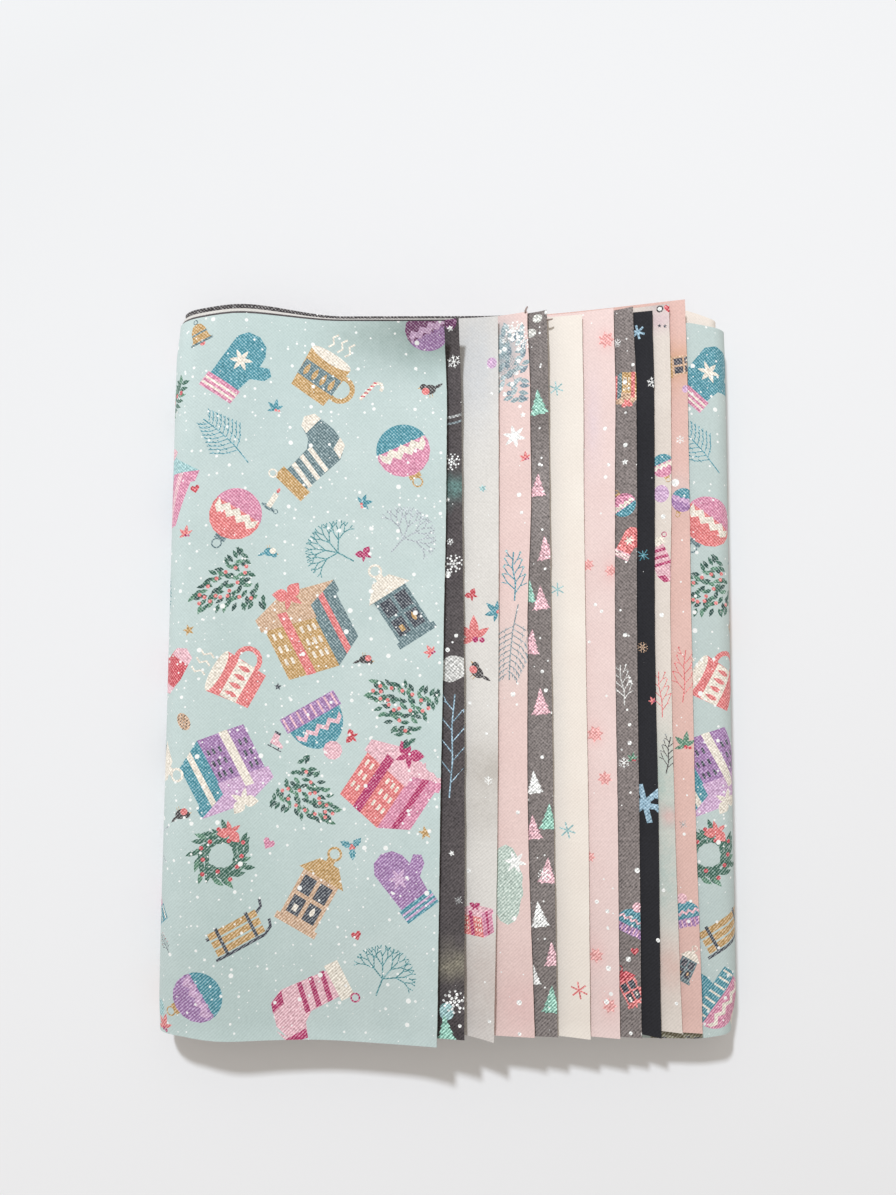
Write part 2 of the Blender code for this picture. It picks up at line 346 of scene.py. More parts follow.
def fold_point(index, along, across):
    """Folded place, in metres, of flat points: along from the inner end, across from the foot."""
    strip = STRIPS[index]
    share = across / STRIP_WIDTH
    left = mix(LEFT_TURN_FOOT, LEFT_TURN_HEAD, share)
    right = mix(RIGHT_TURN_FOOT, RIGHT_TURN_HEAD, share)
    cut = cut_x(strip, share) + cut_trim(index, share)
    right_start, right_end, left_start, left_end = route_breaks(index)

    right_angle = math.pi * (0.5 - (along - right_start) / (right_end - right_start))
    right_radius = (RIGHT_FOLD_LEVEL - index) * PITCH
    left_angle = -math.pi * (0.5 + (along - left_start) / (left_end - left_start))
    left_radius = (LEFT_FOLD_LEVEL - index) * PITCH
    parts = [along < right_start, along < right_end, along < left_start, along < left_end]

    flap_x = right - (right_start - along)
    base_x = mix(right, left, (along - right_end) / (left_start - right_end))
    top_x = mix(left, cut, (along - left_end) / (STRIP_LENGTH - left_end))
    x = np.select(parts, [flap_x, right + right_radius * np.cos(right_angle), base_x,
                          left + left_radius * np.cos(left_angle)], top_x)
    flap_z = level_height(RIGHT_FLAP_LEVEL - index) - dip(RIGHT_FLAP_LEVEL - index, x, left)
    top_z = level_height(LEFT_FLAP_LEVEL - index) - dip(LEFT_FLAP_LEVEL - index, x, left)
    z = np.select(parts, [flap_z, level_height(RIGHT_FOLD_LEVEL) + right_radius * np.sin(right_angle),
                          level_height(index) + 0.0 * x,
                          level_height(LEFT_FOLD_LEVEL) + left_radius * np.sin(left_angle)], top_z)
    on_top = along > (left_start + left_end) / 2.0
    y = mix(foot_y(strip, x, on_top), head_y(strip, x, on_top), share)
    z = settle(x, mix(FOOT_Y, HEAD_Y, share), z)

    # The foot and head ends of both folds are pinched a little flatter.
    foot_pinch, head_pinch = [np.where(x < 0.0, at_left, at_right)
                              for at_left, at_right in zip(LEFT_PINCHES, RIGHT_PINCHES)]
    left_off = PINCH_LEFT_OFF * ease(HEAD_Y + PINCH_ENDS[0], HEAD_Y + PINCH_ENDS[1], y)
    at_head = ease(HEAD_Y - CORNER_REACH, HEAD_Y, y) * (1.0 - left_off)
    ends = foot_pinch * ease(FOOT_Y + CORNER_REACH, FOOT_Y, y) + head_pinch * at_head
    x = x - np.sign(x) * ends * ease(CORNER_FROM, CORNER_TO, np.abs(x))

    # A raised part also draws in towards the middle of the pile.
    rise = np.where(along > left_end, rise_at(index, x, share), 0.0)
    curl = FOOT_CURL * np.clip(1.0 - across / FOOT_CURL_RUN, 0.0, 1.0) ** 2
    z = z + curl * ease(left_end, left_end + FOOT_CURL_RUN, along)
    drawn = rise / DRAW_HEIGHT
    x = mix(x, 0.0, drawn)
    y = mix(y, CAMERA_Y, drawn)
    z = z + rise
    return np.stack([(x - PLAN_X) * MM, (y - PLAN_Y) * MM, z * MM], axis=1)


# Printed inks. Each print is drawn flat, as filled outlines on the cloth, in the order in which
# they are printed. A shape is an ink and its outline, and a motif is a list of shapes. All motifs
# are plain winter things drawn for this bundle.


def ink(red, green, blue):
    """Linear colour of an ink, from its 8-bit screen colour."""
    values = [value / 255 for value in (red, green, blue)]
    return tuple(v / 12.92 if v <= 0.04045 else ((v + 0.055) / 1.055) ** 2.4 for v in values)


WHITE = ink(246, 247, 245)
CREAM = ink(236, 226, 212)
MUSTARD = ink(196, 156, 98)
TAN = ink(208, 172, 142)
SLATE = ink(104, 128, 134)
DARK = ink(64, 68, 80)
SOOT = ink(66, 60, 62)
TEAL = ink(74, 146, 162)
PALE_TEAL = ink(158, 198, 200)
MINT = ink(150, 204, 186)
GREEN = ink(58, 104, 88)
LEAF = ink(92, 138, 114)
PURPLE = ink(164, 122, 174)
PLUM = ink(118, 58, 106)
LILAC = ink(206, 168, 204)
PINK = ink(216, 138, 168)
BLUSH = ink(232, 184, 194)
CORAL = ink(226, 122, 122)
RED = ink(204, 72, 84)
MAGENTA = ink(182, 44, 104)
SKY = ink(150, 184, 204)
GREY = ink(168, 170, 170)
PALE_GREY = ink(206, 205, 202)
BRANCH = ink(140, 154, 160)


def arc(x, y, radius_x, radius_y, start=0, end=360, steps=16):
    """Points of an elliptic arc; a whole turn leaves out its last point."""
    count = steps if end - start >= 360 else steps + 1
    angles = [math.radians(mix(start, end, step / steps)) for step in range(count)]
    return [(x + radius_x * math.cos(a), y + radius_y * math.sin(a)) for a in angles]


def polar(reach, angle):
    """Point at a distance from the middle, in a direction in radians."""
    return reach * math.cos(angle), reach * math.sin(angle)


def ring(x, y, radius, width):
    """Outline of a round band, cut open at one place."""
    outer = arc(x, y, radius + width / 2, radius + width / 2, 0, 359)
    inner = arc(x, y, radius - width / 2, radius - width / 2, 0, 359)
    return outer + inner[::-1]


def block(left, bottom, right, top):
    return [(left, bottom), (right, bottom), (right, top), (left, top)]


def stroke(points, width):
    """Outline of a line of even width through points."""
    left = []
    right = []
    for number, (x, y) in enumerate(points):
        before = points[max(number - 1, 0)]
        after = points[min(number + 1, len(points) - 1)]
        dx = after[0] - before[0]
        dy = after[1] - before[1]
        scale = width / 2 / math.hypot(dx, dy)
        left.append((x - dy * scale, y + dx * scale))
        right.append((x + dy * scale, y - dx * scale))
    return left + right[::-1]


def leaf(x, y, length, width, turn, steps=6):
    """Outline of a pointed leaf that starts at x, y and grows along turn, in degrees."""
    c = math.cos(math.radians(turn))
    s = math.sin(math.radians(turn))
    side = [(length * step / steps, width / 2 * math.sin(math.pi * (step / steps) ** 0.8))
            for step in range(steps + 1)]
    points = side + [(u, -v) for u, v in side[-2:0:-1]]
    return [(x + c * u - s * v, y + s * u + c * v) for u, v in points]


def place(shapes, x, y, turn=0, size=1):
    """A motif moved to x, y, turned by degrees and scaled."""
    c = size * math.cos(math.radians(turn))
    s = size * math.sin(math.radians(turn))
    return [(colour, [(x + c * px - s * py, y + s * px + c * py) for px, py in outline])
            for colour, outline in shapes]


def bow(colour, x, y, size):
    loops = [(colour, leaf(0, 0, 3.4, 2.6, turn)) for turn in (28, 152)]
    tails = [(colour, leaf(0, 0, 3, 1.2, turn)) for turn in (-55, -125)]
    return place(loops + tails + [(colour, arc(0, 0, 0.8, 0.8, steps=8))], x, y, 0, size)


def gift(front, side, lid, ribbon, marks):
    """Parcel seen from a corner, with a lid, a ribbon and rows of short marks."""
    shapes = [(front, [(-10, -8), (3, -10), (3, 4), (-10, 6)]),
              (side, [(3, -10), (10.5, -5.5), (10.5, 7.5), (3, 4)]),
              (lid, [(-11, 5.4), (3.4, 3.2), (3.4, 6.6), (-11, 8.8)]),
              (side, [(3.4, 3.2), (11.5, 6.9), (11.5, 9.9), (3.4, 6.6)]),
              (lid, [(-11, 8.8), (3.4, 6.6), (11.5, 9.9), (-2, 12)]),
              (ribbon, [(-5.4, -8.8), (-3, -9.2), (-3, 7.5), (-5.4, 7.9)]),
              (ribbon, [(6, -8.2), (7.6, -7.2), (7.6, 8.3), (6, 7.6)])]
    for x in (-8.6, -7, -1.4, 0.4, 1.8):
        for y in (-6, -2.6, 0.8):
            shapes.append((marks, block(x - 0.35, y - 0.16 * x, x + 0.35, y + 1.7 - 0.16 * x)))
    return shapes + bow(ribbon, -0.6, 10.8, 1.25)


def lantern(frame, glass, roof, light):
    """Lantern with dark panes, a sloping roof and a ring."""
    shapes = [(frame, block(-6.6, -11.6, 6.6, -9.6)), (frame, block(-5.6, -9.6, 5.6, 4.6)),
              (roof, [(-7.2, 4.6), (7.2, 4.6), (3, 9.6), (-3, 9.6)]),
              (roof, block(-1.2, 9.6, 1.2, 11)), (roof, ring(0, 12.6, 1.8, 0.7))]
    for x in (-4.5, 0.6):
        shapes += [(glass, block(x, -8.4, x + 3.9, -3)), (glass, block(x, -1.8, x + 3.9, 3.4))]
    shapes += [(light, block(-3.2, -7.4, -1.8, -5.4)), (light, leaf(2.5, -6.6, 3, 1.4, 90))]
    return shapes


def bauble(top, band, bottom, cap):
    """Glass ball in two colours with a zigzag band."""
    teeth = [(-7.4 + 1.85 * step, 1 + (1.4 if step % 2 else -0.4)) for step in range(9)]
    under = [(x, y - 2.8) for x, y in teeth]
    return [(cap, ring(0, 10.9, 1.5, 0.5)), (cap, block(-1.9, 7.6, 1.9, 9.6)),
            (top, arc(0, 0, 8.4, 8.4)), (bottom, arc(0, 0, 8.4, 8.4, 192, 348)),
            (band, teeth + under[::-1])]


def mitten(body, cuff, trim):
    palm = [(-5.2, -7), (5.2, -7), (5.8, -2), (9.4, 0.4), (10.2, 3), (8.2, 4.6), (5.7, 3),
            (5.2, 6.4), (3.4, 9.2), (0, 10.4), (-3.6, 9.4), (-5.6, 6.4)]
    shapes = [(body, palm), (cuff, block(-6, -11.6, 6, -7))]
    shapes += [(trim, block(-5.9, y, 5.9, y + 0.7)) for y in (-10.6, -9)]
    shapes += [(trim, leaf(0, 1, 3.6, 1.3, turn)) for turn in (30, 90, 150, 210, 270, 330)]
    return shapes


def hat(body, cuff, trim):
    teeth = [(-7.6 + 1.9 * step, 1.6 + (1.7 if step % 2 else 0)) for step in range(9)]
    under = [(x, y - 1.6) for x, y in teeth]
    shapes = [(body, arc(0, -2, 8.6, 9.6, 0, 180)), (trim, teeth + under[::-1]),
              (trim, arc(0, 9.2, 2.9, 2.9, steps=10)), (cuff, block(-9.4, -6.4, 9.4, -1.6))]
    shapes += [(trim, block(-8.6 + 2.4 * step, -6, -8 + 2.4 * step, -2)) for step in range(8)]
    return shapes


def stocking(body, cuff, stripe):
    leg = [(-4, 8), (4.2, 8), (4.4, -1.5), (6.4, -4.2), (10.6, -5.6), (12, -8.4), (10.4, -11.4),
           (3, -12), (-3, -10.6), (-5, -6.6)]
    shapes = [(body, leg)]
    shapes += [(stripe, [(-4.4, y), (4.2, y - 1.4), (4.2, y - 3), (-4.5, y - 1.4)])
               for y in (7, 3.4, -0.2)]
    shapes += [(stripe, [(-4.8, -6.4), (-1.2, -7.4), (-0.2, -11.4), (-3, -10.6)]),
               (stripe, [(8, -5), (10.6, -5.6), (12, -8.4), (10.4, -11.4), (8, -11.6)]),
               (cuff, block(-5.4, 7.6, 5.6, 11.8)), (stripe, ring(6.4, 11.6, 1.2, 0.5))]
    return shapes


def mug(body, band, drink):
    shapes = [(body, ring(7, -0.6, 3.6, 1.5)), (body, [(-6.6, 6), (6.6, 6), (5.6, -7.6), (-5.6, -7.6)]),
              (band, block(-6, -3.6, 6, 1.8)), (drink, arc(0, 6, 6.6, 1.7))]
    for x in (-4.2, -1.4, 1.4, 4.2):
        shapes.append((body, leaf(x, -3, 4.2, 1.5, 90)))
    for x in (-2.6, 0.4, 3):
        line = [(x, 8.6), (x + 0.9, 10.2), (x - 0.3, 11.8), (x + 0.7, 13.4)]
        shapes.append((drink, stroke(line, 0.6)))
    return shapes


def wreath(needle, light_needle, berry, ribbon):
    """Ring of short needles with red berries and a bow."""
    shapes = []
    for step in range(36):
        turn = 10 * step
        radius = 6.6 + 1.3 * math.sin(2.3 * step)
        x, y = polar(radius, math.radians(turn))
        colour = light_needle if step % 3 == 0 else needle
        shapes.append((colour, leaf(x, y, 4.4, 1.8, turn + 55 + 25 * math.sin(5.1 * step), 3)))
        shapes.append((needle, leaf(x, y, 3.8, 1.7, turn - 125, 3)))
    for step in range(11):
        angle = math.radians(33 * step)
        radius = 6.9 + 1.7 * math.sin(3.7 * step)
        shapes.append((berry, arc(*polar(radius, angle), 0.78, 0.78, steps=6)))
    return shapes + bow(ribbon, 0, -8, 1.3)


def garland(needle, light_needle, berry):
    """Leaning swag of needles with berries."""
    shapes = []
    for step in range(17):
        x = -11.5 + 1.4 * step
        y = 0.05 * x * x - 2.4
        for side in (70, -70, 20):
            colour = light_needle if (step + int(side)) % 4 == 0 else needle
            shapes.append((colour, leaf(x, y, 4.8 - 0.012 * x * x, 1.6, side + 5.7 * x, 3)))
    for step in range(9):
        x = -10 + 2.5 * step
        shapes.append((berry, arc(x, 0.05 * x * x - 2.4 + 1.9 * math.sin(2.2 * step), 0.82, 0.82, steps=6)))
    return shapes


def bush(needle, light_needle, shade, berry):
    """Full fir of short needles with small balls."""
    shapes = []
    for row in range(12):
        y = -11 + 1.85 * row
        half = 8.6 * (1 - row / 12.5) ** 0.8 + 0.5
        count = int(half / 1.15) + 2
        for step in range(count):
            x = mix(-half, half, step / (count - 1))
            colour = (needle, light_needle, needle, shade)[(3 * row + 2 * step) % 4]
            turn = 90 - 7.5 * x + 38 * math.sin(2.7 * step + 1.9 * row)
            shapes.append((colour, leaf(x, y + 0.6 * math.sin(4.1 * step), 3.5, 1.6, turn, 3)))
    for step in range(17):
        y = -9.4 + 1.2 * step
        reach = 7.6 * (1 - step / 18) ** 0.8 * math.sin(2.2 * step + 0.6)
        shapes.append((berry, arc(reach, y, 0.75, 0.75, steps=6)))
    return shapes


def crown(colour, width):
    """Bare round tree whose boughs fork five times."""
    shapes = []
    tips = [(0, -12.5, 90, 6.6)]
    for depth, forks in enumerate(((-62, -21, 20, 60), (-34, 0, 33), (-25, 24),
                                   (-27, 26), ())):
        grown = []
        for number, (x, y, turn, length) in enumerate(tips):
            end_x = x + length * math.cos(math.radians(turn))
            end_y = y + length * math.sin(math.radians(turn))
            shapes.append((colour, stroke([(x, y), (end_x, end_y)], width * (1 - 0.08 * depth))))
            bend = 8 * math.sin(3.3 * number)
            grown += [(end_x, end_y, turn + fork + bend, 0.72 * length) for fork in forks]
        tips = grown
    return shapes


def holly(blade, vein, berry):
    shapes = []
    for turn in (35, 145, 262):
        c = math.cos(math.radians(turn))
        s = math.sin(math.radians(turn))
        spikes = [(0, 0.6), (1.8, 2.3), (3, 1.6), (4.6, 2.9), (5.8, 1.8), (7.4, 2.2), (8.4, 0.9), (10.2, 0)]
        outline = spikes + [(u, -v) for u, v in spikes[-2::-1]]
        shapes.append((blade, [(c * u - s * v, s * u + c * v) for u, v in outline]))
        shapes.append((vein, stroke([(1.5 * c, 1.5 * s), (8.6 * c, 8.6 * s)], 0.35)))
    for turn in (90, 210, 330):
        shapes.append((berry, arc(*polar(1.3, math.radians(turn)), 1.25, 1.25, steps=9)))
    return shapes


def fern(colour):
    """Feathery frond in fine lines."""
    shapes = [(colour, stroke([(0, -12.5), (0.5, -4), (0.2, 4), (-0.6, 11.5)], 0.42))]
    for step in range(9):
        y = -6.5 + 1.9 * step
        reach = 7.6 - 0.55 * step
        for side in (-1, 1):
            shift = 0.9 if side > 0 else 0
            line = [(0.35, y + shift), (side * reach * 0.5, y + shift + reach * 0.28),
                    (side * reach, y + shift + reach * 0.85)]
            shapes.append((colour, stroke(line, 0.32)))
            for share in (0.35, 0.6, 0.82):
                x = side * reach * share
                up = y + shift + reach * share * share * 0.9
                shapes.append((colour, stroke([(x, up), (x + side * 0.5, up + 1.7)], 0.28)))
    return shapes


def twig(stem, tip, reach):
    """Bare twig with alternate side shoots."""
    shapes = [(stem, stroke([(0, 0), (0.5, reach * 0.35), (-0.3, reach * 0.7), (0.2, reach)], 0.45))]
    for step in range(8):
        y = reach * (0.14 + 0.1 * step)
        side = -1 if step % 2 else 1
        out = reach * (0.23 - 0.014 * step)
        shoot = [(0.1, y), (side * out * 0.6, y + out * 0.7), (side * out, y + out * 1.5)]
        spur = [(side * out * 0.5, y + out * 0.6), (side * out * 1.15, y + out * 0.8)]
        shapes += [(stem, stroke(shoot, 0.34)), (stem, stroke(spur, 0.28))]
        shapes.append((tip, arc(side * out, y + out * 1.55, 0.42, 0.42, steps=6)))
    return shapes


def sprig(colour, berry):
    """Pair of broad leaves with two berries."""
    return [(colour, leaf(0, 0, 6.4, 2.6, 62)), (colour, leaf(0, 0, 6, 2.4, 118)),
            (colour, leaf(0, 0, 5, 1.8, 175)), (colour, leaf(0, 0, 5.2, 1.9, 8)),
            (berry, arc(0, -0.6, 0.9, 0.9, steps=8)), (berry, arc(1.6, -1.5, 0.8, 0.8, steps=8))]


def star(colour, points=5, inner=0.42, radius=1):
    outline = []
    for step in range(2 * points):
        reach = radius * (inner if step % 2 else 1)
        outline.append(polar(reach, math.pi * (0.5 + step / points)))
    return [(colour, outline)]


def flake(colour, arms=6, width=0.13, barbs=True):
    """Snow star of radius 1 in thin strokes."""
    shapes = []
    for step in range(arms):
        turn = math.radians(90 + 360 * step / arms)
        c = math.cos(turn)
        s = math.sin(turn)
        shapes.append((colour, stroke([(0, 0), (c, s)], width)))
        if barbs:
            for side in (-1, 1):
                bend = turn + side * 0.9
                start = (0.52 * c, 0.52 * s)
                end = (0.52 * c + 0.36 * math.cos(bend), 0.52 * s + 0.36 * math.sin(bend))
                shapes.append((colour, stroke([start, end], width * 0.85)))
    return shapes


def petal_flake(colour):
    """Snow star of radius 1 with leaf-shaped arms."""
    shapes = [(colour, leaf(*polar(0.14, math.radians(turn)), 0.84, 0.32, turn))
              for turn in range(30, 390, 60)]
    shapes += [(colour, leaf(0, 0, 0.5, 0.16, turn)) for turn in range(0, 360, 60)]
    return shapes


def dot_flake(colour):
    """Snow star of radius 1 made of dots."""
    shapes = [(colour, arc(0, 0, 0.16, 0.16, steps=7))]
    for count, radius, size in ((6, 0.36, 0.15), (6, 0.66, 0.14), (12, 0.92, 0.11)):
        for step in range(count):
            angle = math.tau * step / count + (0.26 if count == 12 else 0)
            shapes.append((colour, arc(*polar(radius, angle), size, size, steps=6)))
    return shapes


def fir(colour):
    """Small fir of height 1, with ragged tiers."""
    right = [(0, 0.55), (0.1, 0.3), (0.07, 0.29), (0.19, 0.08), (0.13, 0.08), (0.28, -0.16), (0.2, -0.15),
             (0.38, -0.42), (0.26, -0.38), (0.2, -0.45), (0.08, -0.41)]
    return [(colour, right + [(-x, y) for x, y in right[:0:-1]])]


def candy(colour, stripe):
    line = [(0, -9), (0, 4), (1, 6.6), (3.2, 7.6), (5.4, 6.4), (6, 3.8)]
    shapes = [(colour, stroke(line, 2.2))]
    for y in (-7.4, -4.4, -1.4, 1.6, 4.4):
        shapes.append((stripe, [(-1.1, y), (1.1, y + 1.2), (1.1, y + 2.4), (-1.1, y + 1.2)]))
    return shapes


def bird(body, breast, beak):
    return [(body, leaf(3, 0.2, 6, 2, 15)), (body, arc(0, 0, 4, 3)),
            (body, arc(-3, 2.2, 2.2, 2.1, steps=12)), (breast, arc(-2.4, -0.4, 2.3, 2.2, steps=12)),
            (beak, [(-5, 2.8), (-6.6, 2.2), (-5, 1.7)]), (beak, stroke([(-0.6, -2.8), (-0.9, -5)], 0.35)),
            (beak, stroke([(0.9, -2.7), (0.8, -5)], 0.35))]


def bell(body, rim, clapper):
    shape = [(-6.6, -5), (-5, -3.2), (-4.4, 2.6), (-2.6, 5.8), (0, 6.8), (2.6, 5.8), (4.4, 2.6),
             (5, -3.2), (6.6, -5)]
    return [(clapper, arc(0, -6.2, 1.6, 1.6, steps=9)), (body, shape), (rim, block(-6.8, -5.8, 6.8, -4.4)),
            (rim, block(-4.6, 0, 4.6, 1.2)), (rim, ring(0, 8, 1.2, 0.6))]


def cone(scale, edge):
    shapes = [(scale, arc(0, 0, 4.2, 6.6, steps=14))]
    for row in range(6):
        for step in range(3 - row % 2):
            x = (step - (2 - row % 2) / 2) * 2.6
            shapes.append((edge, leaf(x - 1, -4.6 + 1.8 * row, 2.2, 0.7, 20)))
    return shapes


def candle(wax, flame, dish):
    return [(dish, arc(0, -7.4, 5.4, 1.7)), (wax, block(-1.9, -7, 1.9, 4)),
            (flame, leaf(0, 4.6, 4.6, 2.4, 90)), (dish, ring(6, -7.2, 1.5, 0.7))]


def sled(wood, rail):
    shapes = [(rail, stroke([(-9, y), (7, y), (9.6, y + 1.4), (10.2, y + 3.6)], 0.9)) for y in (-4.4, 2.2)]
    shapes += [(wood, block(-8, y, 7.6, y + 2)) for y in (-3.6, -1, 1.6)]
    return shapes + [(rail, block(x, -4.4, x + 1, 4.2)) for x in (-5.6, 4.2)]


def skate(boot, blade):
    shape = [(-4.6, 7), (0.4, 7), (0.8, 1.6), (4, 0.2), (6.8, -1.2), (6.8, -3.4), (-4.6, -3.4)]
    return [(boot, shape), (blade, block(-5.4, -6.2, 7.4, -5.3)), (blade, block(-3.6, -5.4, -2.6, -3.4)),
            (blade, block(3.6, -5.4, 4.6, -3.4)), (blade, block(-4.8, 5.6, 0.6, 7.6))]


def heart(colour):
    return [(colour, [(0, -3.4), (-3.4, 0.2), (-3.2, 2.2), (-1.6, 3), (0, 1.6), (1.6, 3), (3.2, 2.2),
                      (3.4, 0.2)])]


def blob(colour, *reaches):
    """Soft-edged painted patch, from its reach in even steps round the middle."""
    count = len(reaches)
    points = []
    for step in range(4 * count):
        first = reaches[step // 4]
        second = reaches[(step // 4 + 1) % count]
        reach = mix(first, second, ease(0, 4, step % 4))
        angle = math.tau * step / (4 * count)
        points.append((float(reach * math.cos(angle)), float(reach * math.sin(angle))))
    return [(colour, points)]


def ray_star(colour):
    """Eight thin rays of unequal length."""
    return [(colour, stroke([(0, 0), polar(reach, angle)], 0.14))
            for angle, reach in ((math.tau * step / 8 + 0.2, 1 if step % 2 else 0.72) for step in range(8))]


MOTIFS = {
    "gift_mustard": gift(MUSTARD, SLATE, TAN, CORAL, CREAM),
    "gift_coral": gift(CORAL, PINK, BLUSH, MAGENTA, CREAM),
    "gift_teal": gift(TEAL, PINK, PALE_TEAL, BLUSH, DARK),
    "gift_purple": gift(PURPLE, TEAL, LILAC, CREAM, DARK),
    "lantern_tan": lantern(TAN, DARK, MUSTARD, CREAM),
    "lantern_slate": lantern(SLATE, DARK, CREAM, MUSTARD),
    "lantern_coral": lantern(CORAL, DARK, RED, CREAM),
    "bauble_pink": bauble(PINK, CREAM, TEAL, MUSTARD),
    "bauble_purple": bauble(PURPLE, LILAC, TEAL, MUSTARD),
    "bauble_coral": bauble(CORAL, CREAM, PINK, SLATE),
    "bauble_plum": bauble(PLUM, LILAC, PURPLE, MUSTARD),
    "mitten_purple": mitten(PURPLE, TEAL, LILAC),
    "mitten_coral": mitten(CORAL, BLUSH, CREAM),
    "mitten_teal": mitten(TEAL, PINK, CREAM),
    "hat_pink": hat(PINK, TEAL, CREAM),
    "hat_teal": hat(TEAL, PURPLE, BLUSH),
    "stocking_magenta": stocking(BLUSH, CREAM, MAGENTA),
    "stocking_slate": stocking(SLATE, MUSTARD, CREAM),
    "stocking_red": stocking(RED, CREAM, BLUSH),
    "mug_red": mug(CORAL, CREAM, CREAM),
    "mug_mustard": mug(MUSTARD, SLATE, CREAM),
    "wreath": wreath(GREEN, LEAF, RED, CORAL),
    "garland": garland(GREEN, LEAF, RED),
    "bush": bush(GREEN, LEAF, ink(38, 76, 70), CORAL),
    "crown_teal": crown(ink(80, 144, 150), 0.54),
    "crown_grey": crown(ink(176, 184, 190), 0.58),
    "bush_frost": bush(ink(150, 172, 178), ink(176, 194, 198), ink(122, 144, 156), WHITE),
    "star_rose": star(ink(236, 166, 163), 7, 0.6),
    "holly_teal": holly(TEAL, PALE_TEAL, CORAL),
    "fern_teal": fern(TEAL),
    "fern_grey": fern(BRANCH),
    "twig_dark": twig(DARK, RED, 15),
    "twig_teal": twig(TEAL, PALE_TEAL, 15),
    "twig_sky": twig(SKY, PALE_TEAL, 34),
    "twig_red": twig(CORAL, CORAL, 20),
    "twig_grey": twig(PALE_GREY, WHITE, 15),
    "twig_soot": twig(SOOT, GREY, 14),
    "sprig_teal": sprig(TEAL, CORAL),
    "sprig_green": sprig(LEAF, RED),
    "sprig_coral": sprig(CORAL, MAGENTA),
    "bow_magenta": bow(MAGENTA, 0, 0, 1.6),
    "bow_red": bow(RED, 0, 0, 1.4),
    "star_mustard": star(MUSTARD, radius=3.6),
    "star_dark": star(DARK, radius=2.4),
    "star_pale": star(PALE_TEAL, 6, 0.5),
    "star_white": star(WHITE, 5, 0.5),
    "flake_white": flake(WHITE),
    "flake_teal": flake(PALE_TEAL, width=0.2, barbs=False),
    "flake_coral": flake(CORAL, width=0.2, barbs=False),
    "flake_sky": flake(SKY, width=0.3, barbs=False),
    "petal_white": petal_flake(WHITE),
    "dots_white": dot_flake(WHITE),
    "dots_tan": dot_flake(TAN),
    "ray_teal": ray_star(TEAL),
    "ray_grey": ray_star(GREY),
    "fir_mint": fir(MINT),
    "fir_pink": fir(BLUSH),
    "fir_white": fir(WHITE),
    "candy": candy(CREAM, RED),
    "bird": bird(SOOT, CORAL, MUSTARD),
    "bird_teal": bird(TEAL, CREAM, MUSTARD),
    "bell": bell(MUSTARD, SLATE, CORAL),
    "cone": cone(TAN, SOOT),
    "candle": candle(CREAM, CORAL, SLATE),
    "sled": sled(MUSTARD, DARK),
    "skate": skate(BLUSH, DARK),
    "heart_red": heart(RED),
    "heart_pink": heart(PINK),
    "dot_white": blob(WHITE, 1, 0.9, 1, 1.1),
    "dot_grey": blob(ink(214, 214, 208), 1, 0.8, 1, 0.9),
    "dot_lilac": blob(LILAC, 1, 1.15, 0.95, 1.1),
    "dot_teal": blob(PALE_TEAL, 1, 1.2, 0.9, 1.1),
    "dot_dark": blob(SOOT, 1, 0.9, 1, 1.1),
    "patch_grey": blob(PALE_GREY, 5.5, 4.4, 4.6, 4.2, 6, 4.6, 3.8, 4.4),
    "patch_plum": blob(PLUM, 2.2, 1.6, 1.4, 2.6),
    "patch_mint": blob(ink(190, 208, 198), 5, 6.5, 13, 6.5, 5, 6.5, 13, 6.5),
    # Dark band along a head edge.
    "dark_head_edge": [(SOOT, block(-80, -1.5, 80, 0))],
    # Olive band with dark dashes, partly print and partly painted shade.
    "olive_edge_and_shade": [(ink(134, 128, 106), block(-9, 0, 9, 2.6)), (SOOT, block(-5, 0, -3.6, 0.5)),
                   (SOOT, block(3, 0.2, 4.6, 0.8)), (SOOT, block(6, 0, 8.2, 0.5))],
    "brush_grey": [(GREY, block(-5, 0.6, 5, 1.5)), (BRANCH, block(-5, -1.6, 5, -0.9))],
}

